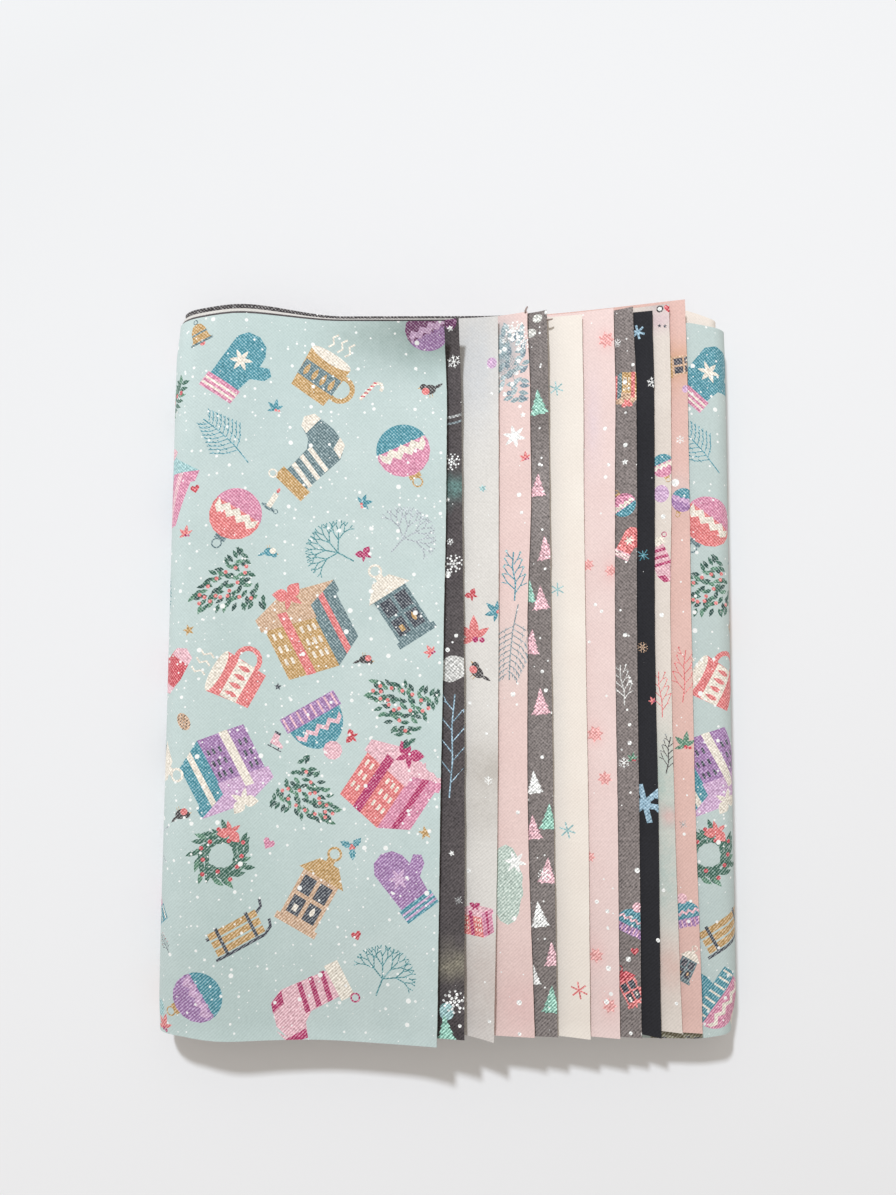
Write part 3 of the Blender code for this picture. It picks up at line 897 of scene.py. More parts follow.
# The outer wrap's print repeats along the strip, up to the part that the pile hides. Its rows give
# the motif, its distance from the cut edge and from the foot edge in one repeat, its turn and size.
WRAP_STARTS = (0, 125, 250)
WRAP_REACH = 345
WRAP_ROWS = (
    ("crown_teal", 17, 27, -20, 0.95), ("mitten_purple", 13, 55, 38, 1.1),
    ("gift_coral", 18, 86, -32, 1.3), ("bush", 15, 116, 58, 1), ("lantern_slate", 16, 150, 34, 1.15),
    ("crown_grey", 11, 178, -40, 0.95), ("bauble_pink", 15, 205, 205, 1.12),
    ("candy", 27, 227, -42, 0.55), ("bauble_plum", 6, 249, 28, 0.95), ("bird", 6, 227, 14, 0.6),
    ("stocking_magenta", 44, 15, -62, 1.2), ("lantern_tan", 43, 50, -28, 1.2),
    ("bush", 45, 82, -128, 0.95), ("hat_teal", 43, 108, -148, 1.15), ("gift_mustard", 46, 139, 28, 1.4),
    ("crown_teal", 42, 171, 62, 0.95), ("stocking_slate", 46, 200, 138, 1.15),
    ("mug_mustard", 44, 232, -32, 1.2), ("sled", 69, 36, 28, 1.15), ("wreath", 75, 62, 160, 1.05),
    ("gift_purple", 75, 92, 208, 1.25), ("mug_red", 72, 122, 62, 1.15), ("bush", 76, 154, 112, 1),
    ("bauble_coral", 73, 180, 148, 1.08), ("fern_teal", 77, 207, 42, 0.95),
    ("mitten_teal", 73, 234, -38, 1.15), ("bauble_purple", 82, 14, 122, 1.02),
    ("hat_pink", 106, 40, 34, 1.15), ("crown_grey", 104, 66, 118, 0.95),
    ("lantern_slate", 105, 95, -112, 1.2), ("stocking_red", 104, 127, 58, 1.15),
    ("crown_teal", 105, 158, -36, 1), ("gift_teal", 105, 190, -22, 1.35),
    ("garland", 104, 222, 16, 1.1), ("gift_mustard", 112, 9, 140, 1.1), ("mug_red", 108, 245, 24, 0.6),
    ("heart_red", 28, 36, 20, 0.5), ("star_mustard", 5, 72, 12, 0.7), ("bow_red", 31, 104, 80, 0.6),
    ("holly_teal", 30, 66, 12, 0.45), ("bird", 27, 131, 190, 0.5), ("sprig_coral", 4, 134, 62, 0.5),
    ("bow_magenta", 28, 168, 30, 0.6), ("sprig_teal", 29, 186, -50, 0.6),
    ("heart_pink", 59, 66, -30, 0.6), ("skate", 57, 101, -26, 0.42), ("bird_teal", 61, 167, 190, 0.5),
    ("candle", 60, 186, -30, 0.5), ("sprig_teal", 60, 218, 20, 0.6), ("star_dark", 57, 120, 0, 0.6),
    ("bird", 89, 76, -150, 0.55), ("cone", 89, 108, 30, 0.5), ("star_mustard", 88, 140, 16, 0.6),
    ("sprig_coral", 90, 174, 20, 0.55), ("bell", 87, 246, 20, 0.6), ("candy", 121, 67, 24, 0.5),
    ("heart_red", 87, 190, 10, 0.45), ("twig_dark", 92, 28, 40, 0.5),
    ("sprig_green", 121, 108, -40, 0.5), ("star_mustard", 120, 143, 0, 0.6),
    ("bow_magenta", 120, 172, 100, 0.5), ("sprig_teal", 121, 208, 30, 0.55),
    ("sprig_coral", 95, 2, 10, 0.8), ("dot_teal", 97, 8, 0, 2.6),
)

# The other strips show a band beside their cut edge, in the same columns. The first rows are what
# the wrap shows once, by the right fold at the foot.
BAND_ROWS = (
    # The olive band with dark dashes at the wrap's foot is partly print and partly painted shade under the
    # salmon strip's foot edge.
    (("olive_edge_and_shade", 337, 0, 0, 1), ("hat_pink", 321, 11, -128, 1.1)),
    (("patch_plum", 3.4, 251, 10, 1.2), ("star_white", 3.2, 248.6, 12, 1.3),
     ("flake_white", 2.2, 236.2, 8, 2.5), ("brush_grey", 4, 215, 4, 1), ("dots_white", 3.6, 200, 20, 3),
     ("star_white", 5, 186.5, 0, 0.9), ("flake_white", 4.4, 171.5, 14, 1.3),
     ("dots_white", 3.2, 163.6, 0, 3.2), ("dot_white", 5.4, 160, 0, 1.2),
     ("dot_white", 2.6, 138.2, 0, 0.7), ("dot_white", 5.6, 133.4, 0, 0.8),
     ("patch_grey", 3.6, 126.5, 20, 1.05), ("twig_sky", 5.2, 82, -3, 1.05),
     ("star_white", 4.4, 63, 20, 1.1), ("ray_grey", 2, 47, 0, 1.6), ("dot_teal", 6, 9, 0, 2.6),
     ("dots_white", 3.2, 12.6, 12, 4), ("fir_mint", 6.2, 3.2, 6, 9), ("dot_white", 1.4, 4.6, 0, 0.6)),
    (("dot_lilac", 2.3, 235, 0, 1.8), ("star_pale", 5.6, 190, 10, 1.5), ("dot_white", 2.4, 224, 0, 0.5),
     ("bow_red", 9.4, 152, 40, 0.55), ("sprig_coral", 8.4, 137, 30, 1.25),
     ("sprig_teal", 0.6, 146.6, 80, 0.75), ("bird", 7.4, 125, -40, 0.62),
     ("dot_white", 9.8, 114, 0, 0.6), ("dot_white", 4, 104, 0, 0.5), ("flake_white", 3.2, 88, 0, 1.6),
     ("gift_coral", 6.2, 39, 8, 0.5), ("dot_white", 9.6, 56, 0, 0.7), ("dot_white", 1.6, 6.6, 0, 0.6)),
    (("bush_frost", 9, 235, -24, 1.15), ("ray_grey", 7.8, 243, 10, 2.2),
     ("dots_white", 4.4, 245.6, 0, 3.6), ("dots_white", 1.6, 241, 20, 2.6),
     ("fern_grey", 6.8, 232, 16, 0.5), ("petal_white", 5.6, 207.4, 12, 4.3),
     ("star_white", 2.5, 214.8, 0, 1.1), ("sprig_coral", 1.8, 199, 30, 0.42),
     ("dot_white", 4.2, 186.4, 0, 0.8), ("dot_white", 3.2, 180, 0, 0.6),
     ("twig_teal", 4.6, 149, 4, 1.15), ("fern_grey", 5.2, 134, 172, 1.1),
     ("dot_white", 5, 116.4, 0, 0.85), ("dot_white", 3.4, 120, 0, 0.4),
     ("patch_mint", 7.8, 51, 0, 1.05), ("dot_white", 3.4, 75.6, 0, 0.7),
     ("petal_white", 4.6, 58.6, 20, 4), ("dot_white", 5.6, 39.6, 0, 0.8),
     ("dot_white", 4.8, 11.4, 0, 0.9), ("dot_white", 5, 1, 0, 0.6)),
    # The fir strip's first motif is a dark band along its head edge.
    (("dark_head_edge", 90, 252, 0, 1), ("dot_grey", 5.8, 244.6, 0, 1.9), ("dot_grey", 3.4, 249.6, 0, 1.8),
     ("fir_mint", 3.6, 218.6, 4, 9.5), ("fir_pink", 4.2, 189, -3, 8.5),
     ("fir_pink", 1.6, 166.4, 5, 8.8), ("fir_mint", 7.6, 151.6, -4, 8), ("fir_pink", 3.4, 149, 3, 8.8),
     ("fir_pink", 7, 133.8, -6, 9.2), ("fir_pink", 3.8, 112.8, 2, 9.6),
     ("fir_white", 6.4, 85.2, 4, 8.2), ("fir_mint", 1.6, 73.2, -3, 9), ("fir_pink", 7, 69.8, 3, 8.6),
     ("fir_pink", 2.4, 55, -4, 9), ("dots_white", 3.4, 54, 0, 2.2), ("fir_white", 5.4, 40.2, 6, 9),
     ("fir_pink", 1.2, 27, 4, 8.4), ("fir_mint", 1.7, 11.8, -2, 9.4), ("fir_white", 7.6, 20, 2, 7)),
    (("flake_teal", 9.6, 225.6, 8, 2.6), ("flake_teal", 9.6, 153.4, 0, 2.4),
     ("flake_teal", 7.2, 69.6, 14, 2.8), ("flake_coral", 3.6, 15.8, 10, 2.9)),
    (("star_rose", 2.8, 240.8, 10, 3.2), ("star_rose", 1.4, 158.6, 40, 2.3),
     ("star_rose", 9.4, 161, 0, 2.3), ("star_rose", 7.4, 102, 20, 3.1),
     ("star_rose", 4.2, 86.8, 0, 2.7), ("star_rose", 7.8, 27, 30, 2.7),
     ("star_rose", 3.4, 10.6, 12, 2.7), ("star_rose", 9.6, 60, 5, 2), ("dot_white", 3.6, 209, 0, 0.7),
     ("dot_white", 2.2, 196, 0, 0.6), ("dot_white", 6.8, 147, 0, 0.6),
     ("dot_white", 4.6, 144.6, 0, 0.6), ("dot_white", 9, 134, 0, 0.5), ("dot_white", 7.4, 45, 0, 0.7),
     ("dot_white", 3.8, 42, 0, 0.7), ("dot_white", 3.6, 23, 0, 0.9), ("dot_white", 4.4, 11.8, 0, 0.9)),
    (("gift_mustard", 3.4, 223.6, 178, 0.55), ("dots_white", 6.2, 240, 0, 1.5),
     ("star_white", 4.2, 196.8, 0, 1.2), ("bauble_pink", 4.6, 181.6, 30, 0.5),
     ("mitten_coral", 3, 168.4, -30, 0.52), ("twig_grey", 4.6, 111.6, 6, 0.95),
     ("flake_white", 5, 92, 0, 2), ("sprig_green", 2, 93, 20, 0.4), ("hat_teal", 3.2, 38, -24, 0.6),
     ("heart_red", 2, 28.4, 0, 0.4), ("lantern_coral", 4, 16.4, 28, 0.55)),
    (("ray_teal", 4, 164.4, 0, 2.3), ("flake_white", 0.6, 226, 10, 2),
     ("flake_sky", 5.4, 244.6, 12, 2.6), ("dots_tan", 4.4, 132, 0, 1.8),
     ("sprig_coral", 1, 113.4, 60, 0.3), ("flake_sky", 4.6, 78, 14, 6.6),
     ("dot_white", 0.6, 32.4, 0, 0.7)),
    (("dot_dark", 3.4, 250.6, 0, 1.3), ("dot_white", 3.4, 250.6, 0, 0.75),
     ("heart_red", 0.4, 250.4, 0, 0.45), ("star_dark", 3.6, 244.4, 0, 0.35),
     ("star_dark", 1.6, 244, 0, 0.35), ("bauble_pink", 3, 194, 200, 0.5),
     ("dot_lilac", 3.6, 184, 0, 2.8), ("stocking_magenta", 3.2, 160.4, 24, 0.7),
     ("twig_red", 3.4, 105.8, 4, 0.8), ("twig_soot", 2.6, 86.6, -8, 0.9),
     ("dot_white", 2.8, 176, 0, 0.8), ("dot_white", 3, 141.4, 0, 0.8), ("dot_white", 4.6, 47, 0, 0.6),
     ("dot_white", 1.6, 9.6, 0, 0.6)),
    (("lantern_tan", 2.6, 228.4, 94, 0.6), ("dot_lilac", 0.8, 219.8, 0, 1.2),
     ("flake_white", 3, 202, 0, 1.6), ("bauble_purple", 2.4, 180.6, 160, 0.5),
     ("dot_white", 5, 187, 0, 1.4), ("twig_red", 3.6, 110.4, -4, 0.9),
     ("sprig_green", 3, 95.6, 20, 0.8), ("ray_grey", 4.4, 69, 0, 1.6),
     ("hat_teal", 4.2, 38.6, 14, 0.62), ("lantern_slate", 4.6, 22, -26, 0.5)),
)

# Soft patches on the ground, some of thin dye and some of painted shade: colour, distance from the cut
# edge and from the foot edge of its middle, its reach along and across the strip, and its strength.
# Shade on the outer wrap, painted into its patch colours.
AQUA_SHADE = ink(184, 203, 199)
STONE = ink(196, 190, 183)
ROSE = ink(238, 170, 168)
WASH_AND_SHADE_ROWS = (
    # The outer wrap's patches are painted shade: a soft hollow of the pile, the curl at the head corner and
    # the head edge, and the lower right third.
    ((AQUA_SHADE, 68, 28, 24, 46, 0.45), (AQUA_SHADE, 66, 108, 20, 60, 0.4), (AQUA_SHADE, 52, 245, 18, 14, 0.3),
     (ink(188, 205, 204), 60, 222, 26, 34, 0.5), (ink(150, 172, 168), 6, 246, 26, 13, 0.7),
     (ink(176, 190, 186), 32, 248, 12, 8, 0.45), (ink(190, 202, 199), 322, 126, 14, 160, 0.6)),
    ((ink(104, 138, 134), 4, 190.4, 9, 3.6, 1), (ink(146, 140, 124), 4, 25.6, 9, 4, 0.9),
     (ink(60, 54, 56), 4, 2, 9, 5, 0.7)),
    ((STONE, 2, 92, 12, 8, 1), (STONE, 6, 76, 12, 8, 0.5), (ink(206, 193, 187), 3, 22, 16, 14, 0.75),
     # The grey patch 8 from the cut edge near the head is painted shade beside the charcoal strip's raised
     # edge.
     (ink(206, 208, 211), 8, 234, 8, 24, 0.85), (ink(200, 192, 188), 6, 0, 10, 12, 0.6)),
    ((ink(156, 178, 184), 10, 239, 5.4, 9, 1), (ink(226, 176, 176), 4, 10, 8, 9, 0.3),
     (ink(222, 214, 206), 6, 130, 9, 15, 0.35)),
    ((ink(150, 142, 140), 5, 186, 9, 18, 0.7),),
    # The long grey band 10 from the cut edge is painted shade beside the fir strip's raised cut edge.
    ((ink(226, 220, 214), 10, 120, 3, 120, 0.5), (ink(236, 228, 219), 6, 224, 12, 34, 0.6)),
    ((ROSE, 2.8, 240.8, 3, 4, 0.3), (ROSE, 1.4, 158.6, 2.6, 4, 0.3), (ROSE, 7.4, 102, 3.2, 4, 0.3),
     (ROSE, 7.8, 27, 3.2, 4, 0.3), (ROSE, 3.4, 10.6, 2.6, 4, 0.3),
     (ink(226, 208, 216), 8, 212, 3, 16, 0.5)),
    (),
    (),
    ((ink(196, 188, 184), 3, 253, 6, 2.6, 1), (ink(184, 198, 190), 4, 84, 9, 18, 0.85),
     (ink(188, 200, 194), 4, 50, 9, 18, 0.85), (ink(222, 184, 174), 3.4, 22, 6, 8, 0.7),
     (ROSE, 2, 72, 2.6, 2.6, 0.8), (ink(212, 180, 190), 3, 246.6, 7, 4, 0.6)),
    ((ink(214, 166, 134), 3, 229, 7, 7, 0.85), (ink(218, 196, 192), 3, 184, 6, 6, 0.7)),
)


def printed(rows, start=0):
    """Shapes of a table's motifs, laid start further from the cut edge, but for those that don't show."""
    return [shape for name, from_cut, from_foot, turn, size in rows if start + from_cut < WRAP_REACH
            for shape in place(MOTIFS[name], STRIP_LENGTH - start - from_cut, from_foot, turn, size)]


def inside(outline, points):
    """Which points lie inside an outline, by even and odd crossings."""
    edge = np.array(outline)
    following = np.roll(edge, -1, axis=0)
    x0, y0 = edge[:, 0], edge[:, 1]
    x1, y1 = following[:, 0], following[:, 1]
    crosses = (y0 > points[:, 1:]) != (y1 > points[:, 1:])
    rise = np.where(y1 == y0, 1.0, y1 - y0)
    at = x0 + (points[:, 1:] - y0) * (x1 - x0) / rise
    return (crosses & (points[:, :1] < at)).sum(axis=1) % 2 == 1


# The cloth. Each strip is one thin woven sheet on the folds of its solid. Its flat outline, its
# fold lines and the outlines of its print are meshed together, and then laid on the route.

ARC_STEPS = 22
COARSE_STEP = 12.0
FLAP_STEP = 4.0
FOLD_REACH = 32.0
BAND_STEP = 1.3
ROW_STEP = 6.0
RIM_ROWS = (0.0, 1.5, 3.0, 4.5)
RIM_TOLERANCE = 1e-4
SMALLEST_AREA = 1e-9
SHARP_ANGLE = 50.0
CUT_ROW_STEP = 1.8
CUT_JITTER = 0.05
BACK_PRINT = 0.35
BAKE_MARGIN = 0.004


def spread(start, end, step):
    """Even values from start to end, about a step apart, both ends included."""
    count = max(int(round((end - start) / step)), 1)
    return [mix(start, end, number / count) for number in range(count + 1)]


def flat_lines(index):
    """Positions along a strip of the lines of points that its mesh needs, and their row steps."""
    right_start, right_end, left_start, left_end = route_breaks(index)
    free = LIFT_ROWS[index][3]
    lines = spread(0.0, right_start - FOLD_REACH, COARSE_STEP)
    lines += spread(right_start - FOLD_REACH, right_start, FLAP_STEP)[1:]
    lines += spread(right_start, right_end, (right_end - right_start) / ARC_STEPS)[1:]
    lines += spread(right_end, left_start, COARSE_STEP)[1:]
    lines += spread(left_start, left_end, (left_end - left_start) / ARC_STEPS)[1:]
    lines += spread(left_end, STRIP_LENGTH - free, FLAP_STEP)[1:]
    lines += spread(STRIP_LENGTH - free, STRIP_LENGTH, BAND_STEP)[1:]
    return lines


def flat_mesh(index, shapes):
    """Flat points and triangles of a strip, with the triangles cut along its print."""
    points = []
    edges = []
    previous_rim = None
    for along in flat_lines(index):
        near_cut = along > STRIP_LENGTH - 2.5 * BAND_STEP
        middle = spread(ROW_STEP, STRIP_WIDTH - ROW_STEP, CUT_ROW_STEP if near_cut else ROW_STEP)
        rows = list(RIM_ROWS) + middle + [STRIP_WIDTH - row for row in RIM_ROWS[::-1]]
        first = len(points)
        points += [(along, across) for across in rows]
        last = len(points) - 1
        edges += [(number, number + 1) for number in range(first, last)]
        if previous_rim is not None:
            edges += [(previous_rim[0], first), (previous_rim[1], last)]
        previous_rim = (first, last)
    for colour, outline in shapes:
        first = len(points)
        points += [(min(max(x, 0.01), STRIP_LENGTH - 0.01), min(max(y, 0.01), STRIP_WIDTH - 0.01))
                   for x, y in outline]
        count = len(outline)
        edges += [(first + number, first + (number + 1) % count) for number in range(count)]
    made = geometry.delaunay_2d_cdt([Vector(point) for point in points], edges, [], 0, 1e-5, False)
    return np.array([tuple(point) for point in made[0]]), [tuple(face) for face in made[2]]


def finish_back(mesh, fronts):
    """Fade the print on the cloth's back, and lay both faces out for the bake."""
    face_of_loop = np.repeat(np.arange(len(mesh.polygons)), [len(face.vertices) for face in mesh.polygons])
    back = (face_of_loop >= fronts) & (face_of_loop < 2 * fronts)
    colours = mesh.color_attributes["print"]
    values = np.zeros(4 * len(mesh.loops), np.float32)
    colours.data.foreach_get("color", values)
    values = values.reshape(-1, 4)
    values[back, 3] *= BACK_PRINT
    colours.data.foreach_set("color", values.ravel())
    places = np.zeros(2 * len(mesh.loops), np.float32)
    mesh.uv_layers["cloth"].data.foreach_get("uv", places)
    places = places.reshape(-1, 2) / (STRIP_LENGTH * MM, STRIP_WIDTH * MM)
    places[:, 1] = BAKE_MARGIN + places[:, 1] * (0.5 - 2.0 * BAKE_MARGIN) + 0.5 * back
    places[:, 0] = BAKE_MARGIN + places[:, 0] * (1.0 - 2.0 * BAKE_MARGIN)
    bake_map = mesh.uv_layers.new(name="OFBake")
    bake_map.data.foreach_set("uv", places.astype(np.float32).ravel())


def make_strip(index, shapes, washes_and_shades, material):
    """One strip: its flat mesh laid on its folds, with print colours and its real thickness."""
    flat, faces = flat_mesh(index, shapes)
    corners = flat[np.array(faces)]
    area = ((corners[:, 1, 0] - corners[:, 0, 0]) * (corners[:, 2, 1] - corners[:, 0, 1])
            - (corners[:, 2, 0] - corners[:, 0, 0]) * (corners[:, 1, 1] - corners[:, 0, 1]))
    faces = [face if size > 0 else face[::-1] for face, size in zip(faces, area)
             if abs(size) > SMALLEST_AREA]
    centres = flat[np.array(faces)].mean(axis=1)

    printed = np.zeros((len(faces), 4), np.float32)
    for colour, outline in shapes:
        low = np.min(outline, axis=0)
        high = np.max(outline, axis=0)
        near = np.nonzero((centres >= low).all(axis=1) & (centres <= high).all(axis=1))[0]
        hit = near[inside(outline, centres[near])]
        printed[hit] = (*colour, 1.0)

    chance = np.random.default_rng(index)
    laid = flat.copy()
    rim = flat[:, 0] > STRIP_LENGTH - RIM_TOLERANCE
    laid[rim, 0] += chance.uniform(-CUT_JITTER, CUT_JITTER, rim.sum())
    places = fold_point(index, laid[:, 0], laid[:, 1])

    node = STRIPS[index]["node"]
    mesh = bpy.data.meshes.new(node + "_cloth")
    mesh.from_pydata(places.tolist(), [], faces)
    cloth_map = mesh.uv_layers.new(name="cloth")
    loops = np.zeros(len(mesh.loops), np.int32)
    mesh.loops.foreach_get("vertex_index", loops)
    cloth_map.data.foreach_set("uv", (flat[loops] * MM).astype(np.float32).ravel())
    colours = mesh.color_attributes.new("print", "FLOAT_COLOR", "CORNER")
    colours.data.foreach_set("color", np.repeat(printed, 3, axis=0).ravel())
    # Soft patches of dye and of painted shade at the points.
    wash_and_shade = mesh.color_attributes.new("wash_and_shade", "FLOAT_COLOR", "POINT")
    wash_and_shade.data.foreach_set("color", wash_and_shade_colours(flat, washes_and_shades).ravel())

    piece = show(bpy.data.objects.new(node + "_cloth", mesh))
    mesh.materials.append(material)
    cloth = piece.modifiers.new("cloth", "SOLIDIFY")
    cloth.thickness = CLOTH * MM
    cloth.offset = 0.0
    bpy.context.view_layer.objects.active = piece
    bpy.ops.object.modifier_apply(modifier=cloth.name)
    mesh = piece.data
    finish_back(mesh, len(faces))
    mesh.shade_smooth()
    mesh.set_sharp_from_angle(angle=math.radians(SHARP_ANGLE))

    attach(piece, "root")
    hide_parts(node)
    return piece


def wash_and_shade_colours(flat, washes_and_shades):
    """Soft patches of thin dye and of painted shade: colour and strength at each flat point."""
    found = np.zeros((len(flat), 4), np.float32)
    found[:, :3] = WHITE
    for colour, from_cut, from_foot, reach_along, reach_across, strength in washes_and_shades:
        far = (((flat[:, 0] - (STRIP_LENGTH - from_cut)) / reach_along) ** 2
               + ((flat[:, 1] - from_foot) / reach_across) ** 2)
        amount = strength * np.exp(-far)
        total = np.maximum(found[:, 3] + amount, 1e-6)
        share = (amount / total)[:, None]
        found[:, :3] = found[:, :3] * (1.0 - share) + np.array(colour) * share
        found[:, 3] = np.minimum(total, 1.0)
    return found


# Woven cotton. Fine twill ribs, crisp at the foot and crossed by a second set towards the head, a
# little unevenness of the yarn, soft dye mottling, inks that leave the tops of the threads bare,
# and snow specks printed in white over all. Painted shade darkens the cloth towards its foot edge.

MILLIMETRES = 1000.0
TWILL_SCALE = math.tau / (10.0 * math.sqrt(2.0) * 0.86)
TWILL_FOOT = 20.0
TWILL_HEAD = 150.0
# Painted shade towards the foot edge: how bright the cloth stays at the foot, and the run over which it
# fades out.
PAINTED_FOOT_SHADE = 0.91
PAINTED_FOOT_SHADE_RUN = 100.0
YARN_SCALE = 1.5
SLUB_SCALE = 0.2
FLECK_SCALE = 1.05
RIB_SHARE = 0.65
YARN_SHARE = 0.35
MOTTLE_SCALE = 0.05
BLOOM_SCALE = 0.3
DRIFT_SCALE = 0.035
FINE_SPACING = 3.0
FINE_SIZE = 0.62
COARSE_SPACING = 7.4
SPECK_CRISPNESS = 7.0
THREAD_WHITENESS = 0.6
INK_BARE = 0.3
FLECK = 2.4
INK_CONTRAST = 0.52
BUMP_STRENGTH = 0.35
BUMP_DEPTH = 0.12
CLOTH_FINISH = {"Roughness": 0.88, "Sheen Weight": 0.12, "Sheen Roughness": 0.6, "Specular IOR Level": 0.2}


def new_group(name, inputs, outputs):
    """An empty shader node group with named sockets."""
    group = bpy.data.node_groups.new(name, "ShaderNodeTree")
    for label, kind in inputs:
        group.interface.new_socket(label, in_out="INPUT", socket_type=kind)
    for label, kind in outputs:
        group.interface.new_socket(label, in_out="OUTPUT", socket_type=kind)
    return group, group.nodes.new("NodeGroupInput").outputs, group.nodes.new("NodeGroupOutput").inputs


def add(tree, kind, settings=None, **sockets):
    """A node with its settings, and its inputs set to values or linked to outputs."""
    node = tree.nodes.new(kind)
    for name, value in (settings or {}).items():
        setattr(node, name, value)
    for name, value in sockets.items():
        key = int(name[1:]) if name[1:].isdigit() else name.replace("_", " ")
        if isinstance(value, bpy.types.NodeSocket):
            tree.links.new(value, node.inputs[key])
        else:
            node.inputs[key].default_value = value
    return node


def compute(tree, operation, first, second=0.0, third=0.0, clamp=False):
    settings = {"operation": operation, "use_clamp": clamp}
    return add(tree, "ShaderNodeMath", settings, s0=first, s1=second, s2=third).outputs[0]


def mix_colour(tree, share, first, second, blend="MIX"):
    settings = {"data_type": "RGBA", "blend_type": blend}
    return add(tree, "ShaderNodeMix", settings, s0=share, s6=first, s7=second).outputs[2]


def noise(tree, vector, scale, detail, roughness=0.5):
    return add(tree, "ShaderNodeTexNoise", None, Vector=vector, Scale=scale, Detail=detail,
               Roughness=roughness).outputs["Fac"]


def weigh(tree, first, first_share, second, second_share):
    """Sum of two values, each times its share."""
    return compute(tree, "ADD", compute(tree, "MULTIPLY", first, first_share),
                   compute(tree, "MULTIPLY", second, second_share))


def opaque(colour):
    return (*colour, 1.0)


def new_material(name, finish):
    """A material with its finish, and its node tree and shader."""
    material = bpy.data.materials.new(name)
    material.use_nodes = True
    shader = material.node_tree.nodes["Principled BSDF"]
    for socket, value in finish.items():
        shader.inputs[socket].default_value = value
    return material, material.node_tree, shader


twill, twill_in, twill_out = new_group(
    "twill_weave", [("Vector", "NodeSocketVector")],
    [("Height", "NodeSocketFloat"), ("Swing", "NodeSocketFloat"), ("Bare", "NodeSocketFloat"),
     ("Painted Foot Shade", "NodeSocketFloat")])
place_across = add(twill, "ShaderNodeSeparateXYZ", None, Vector=twill_in["Vector"]).outputs["Y"]
to_head = add(twill, "ShaderNodeMapRange", {"interpolation_type": "SMOOTHSTEP"}, Value=place_across,
              From_Min=TWILL_FOOT, From_Max=TWILL_HEAD).outputs["Result"]
waves = []
for side in (1.0, -1.0):
    mirrored = add(twill, "ShaderNodeVectorMath", {"operation": "MULTIPLY"}, s0=twill_in["Vector"],
                   s1=(side, 1.0, 0.0)).outputs[0]
    settings = {"wave_type": "BANDS", "bands_direction": "DIAGONAL", "wave_profile": "SIN"}
    waves.append(add(twill, "ShaderNodeTexWave", settings, Vector=mirrored, Scale=TWILL_SCALE,
                     Distortion=0.6, Detail=1.0, Detail_Scale=1.5).outputs["Fac"])
falling, rising = waves
yarn = noise(twill, twill_in["Vector"], YARN_SCALE, 2.0)
slub = noise(twill, twill_in["Vector"], SLUB_SCALE, 3.0)
fleck = noise(twill, twill_in["Vector"], FLECK_SCALE, 2.0, 0.65)
ribs = weigh(twill, rising, compute(twill, "MULTIPLY_ADD", to_head, -0.4, 0.8),
             falling, compute(twill, "MULTIPLY_ADD", to_head, 0.4, 0.2))
crisp = compute(twill, "MULTIPLY_ADD", ribs, 1.5, -0.25, clamp=True)
height = weigh(twill, crisp, RIB_SHARE, yarn, YARN_SHARE)
clear = compute(twill, "MULTIPLY_ADD", to_head, -0.2, 1.0)
uneven = compute(twill, "MULTIPLY_ADD", slub, 0.4, -0.2)
grain = compute(twill, "MULTIPLY_ADD", fleck, FLECK, -0.5 * FLECK)
ribbed = compute(twill, "MULTIPLY_ADD", compute(twill, "SUBTRACT", height, 0.5), clear, uneven)
swing = compute(twill, "ADD", ribbed, grain)
bare = weigh(twill, height, 0.4, fleck, 0.6)
# Painted shade: darker towards the foot edge.
painted_foot_shade = add(twill, "ShaderNodeMapRange", {"interpolation_type": "SMOOTHSTEP"}, Value=place_across,
              From_Min=0.0, From_Max=PAINTED_FOOT_SHADE_RUN, To_Min=PAINTED_FOOT_SHADE, To_Max=1.0).outputs["Result"]
twill.links.new(painted_foot_shade, twill_out["Painted Foot Shade"])
twill.links.new(height, twill_out["Height"])
twill.links.new(swing, twill_out["Swing"])
twill.links.new(compute(twill, "MULTIPLY_ADD", bare, 6.0, -2.9, clamp=True), twill_out["Bare"])

snow, snow_in, snow_out = new_group(
    "snow_specks", [("Vector", "NodeSocketVector"), ("Spacing", "NodeSocketFloat"),
                    ("Largest", "NodeSocketFloat"), ("Share", "NodeSocketFloat")],
    [("Mask", "NodeSocketFloat")])
scaled = add(snow, "ShaderNodeVectorMath", {"operation": "SCALE"}, Vector=snow_in["Vector"],
             Scale=compute(snow, "DIVIDE", 1.0, snow_in["Spacing"])).outputs[0]
cells = add(snow, "ShaderNodeTexVoronoi", {"voronoi_dimensions": "2D"}, Vector=scaled, Scale=1.0,
            Randomness=1.0)
lot = add(snow, "ShaderNodeSeparateColor", None, s0=cells.outputs["Color"]).outputs
drift = noise(snow, snow_in["Vector"], DRIFT_SCALE, 1.0)
local_share = compute(snow, "MULTIPLY", snow_in["Share"], compute(snow, "MULTIPLY_ADD", drift, 3.0, -0.5))
kept = compute(snow, "LESS_THAN", lot[0], local_share)
radius = compute(snow, "MULTIPLY", snow_in["Largest"],
                 compute(snow, "MULTIPLY_ADD", compute(snow, "POWER", lot[1], 2.0), 0.6, 0.4))
away = compute(snow, "MULTIPLY", cells.outputs["Distance"], snow_in["Spacing"])
rim = compute(snow, "MULTIPLY", compute(snow, "SUBTRACT", radius, away), SPECK_CRISPNESS, clamp=True)
snow.links.new(compute(snow, "MULTIPLY", rim, kept), snow_out["Mask"])


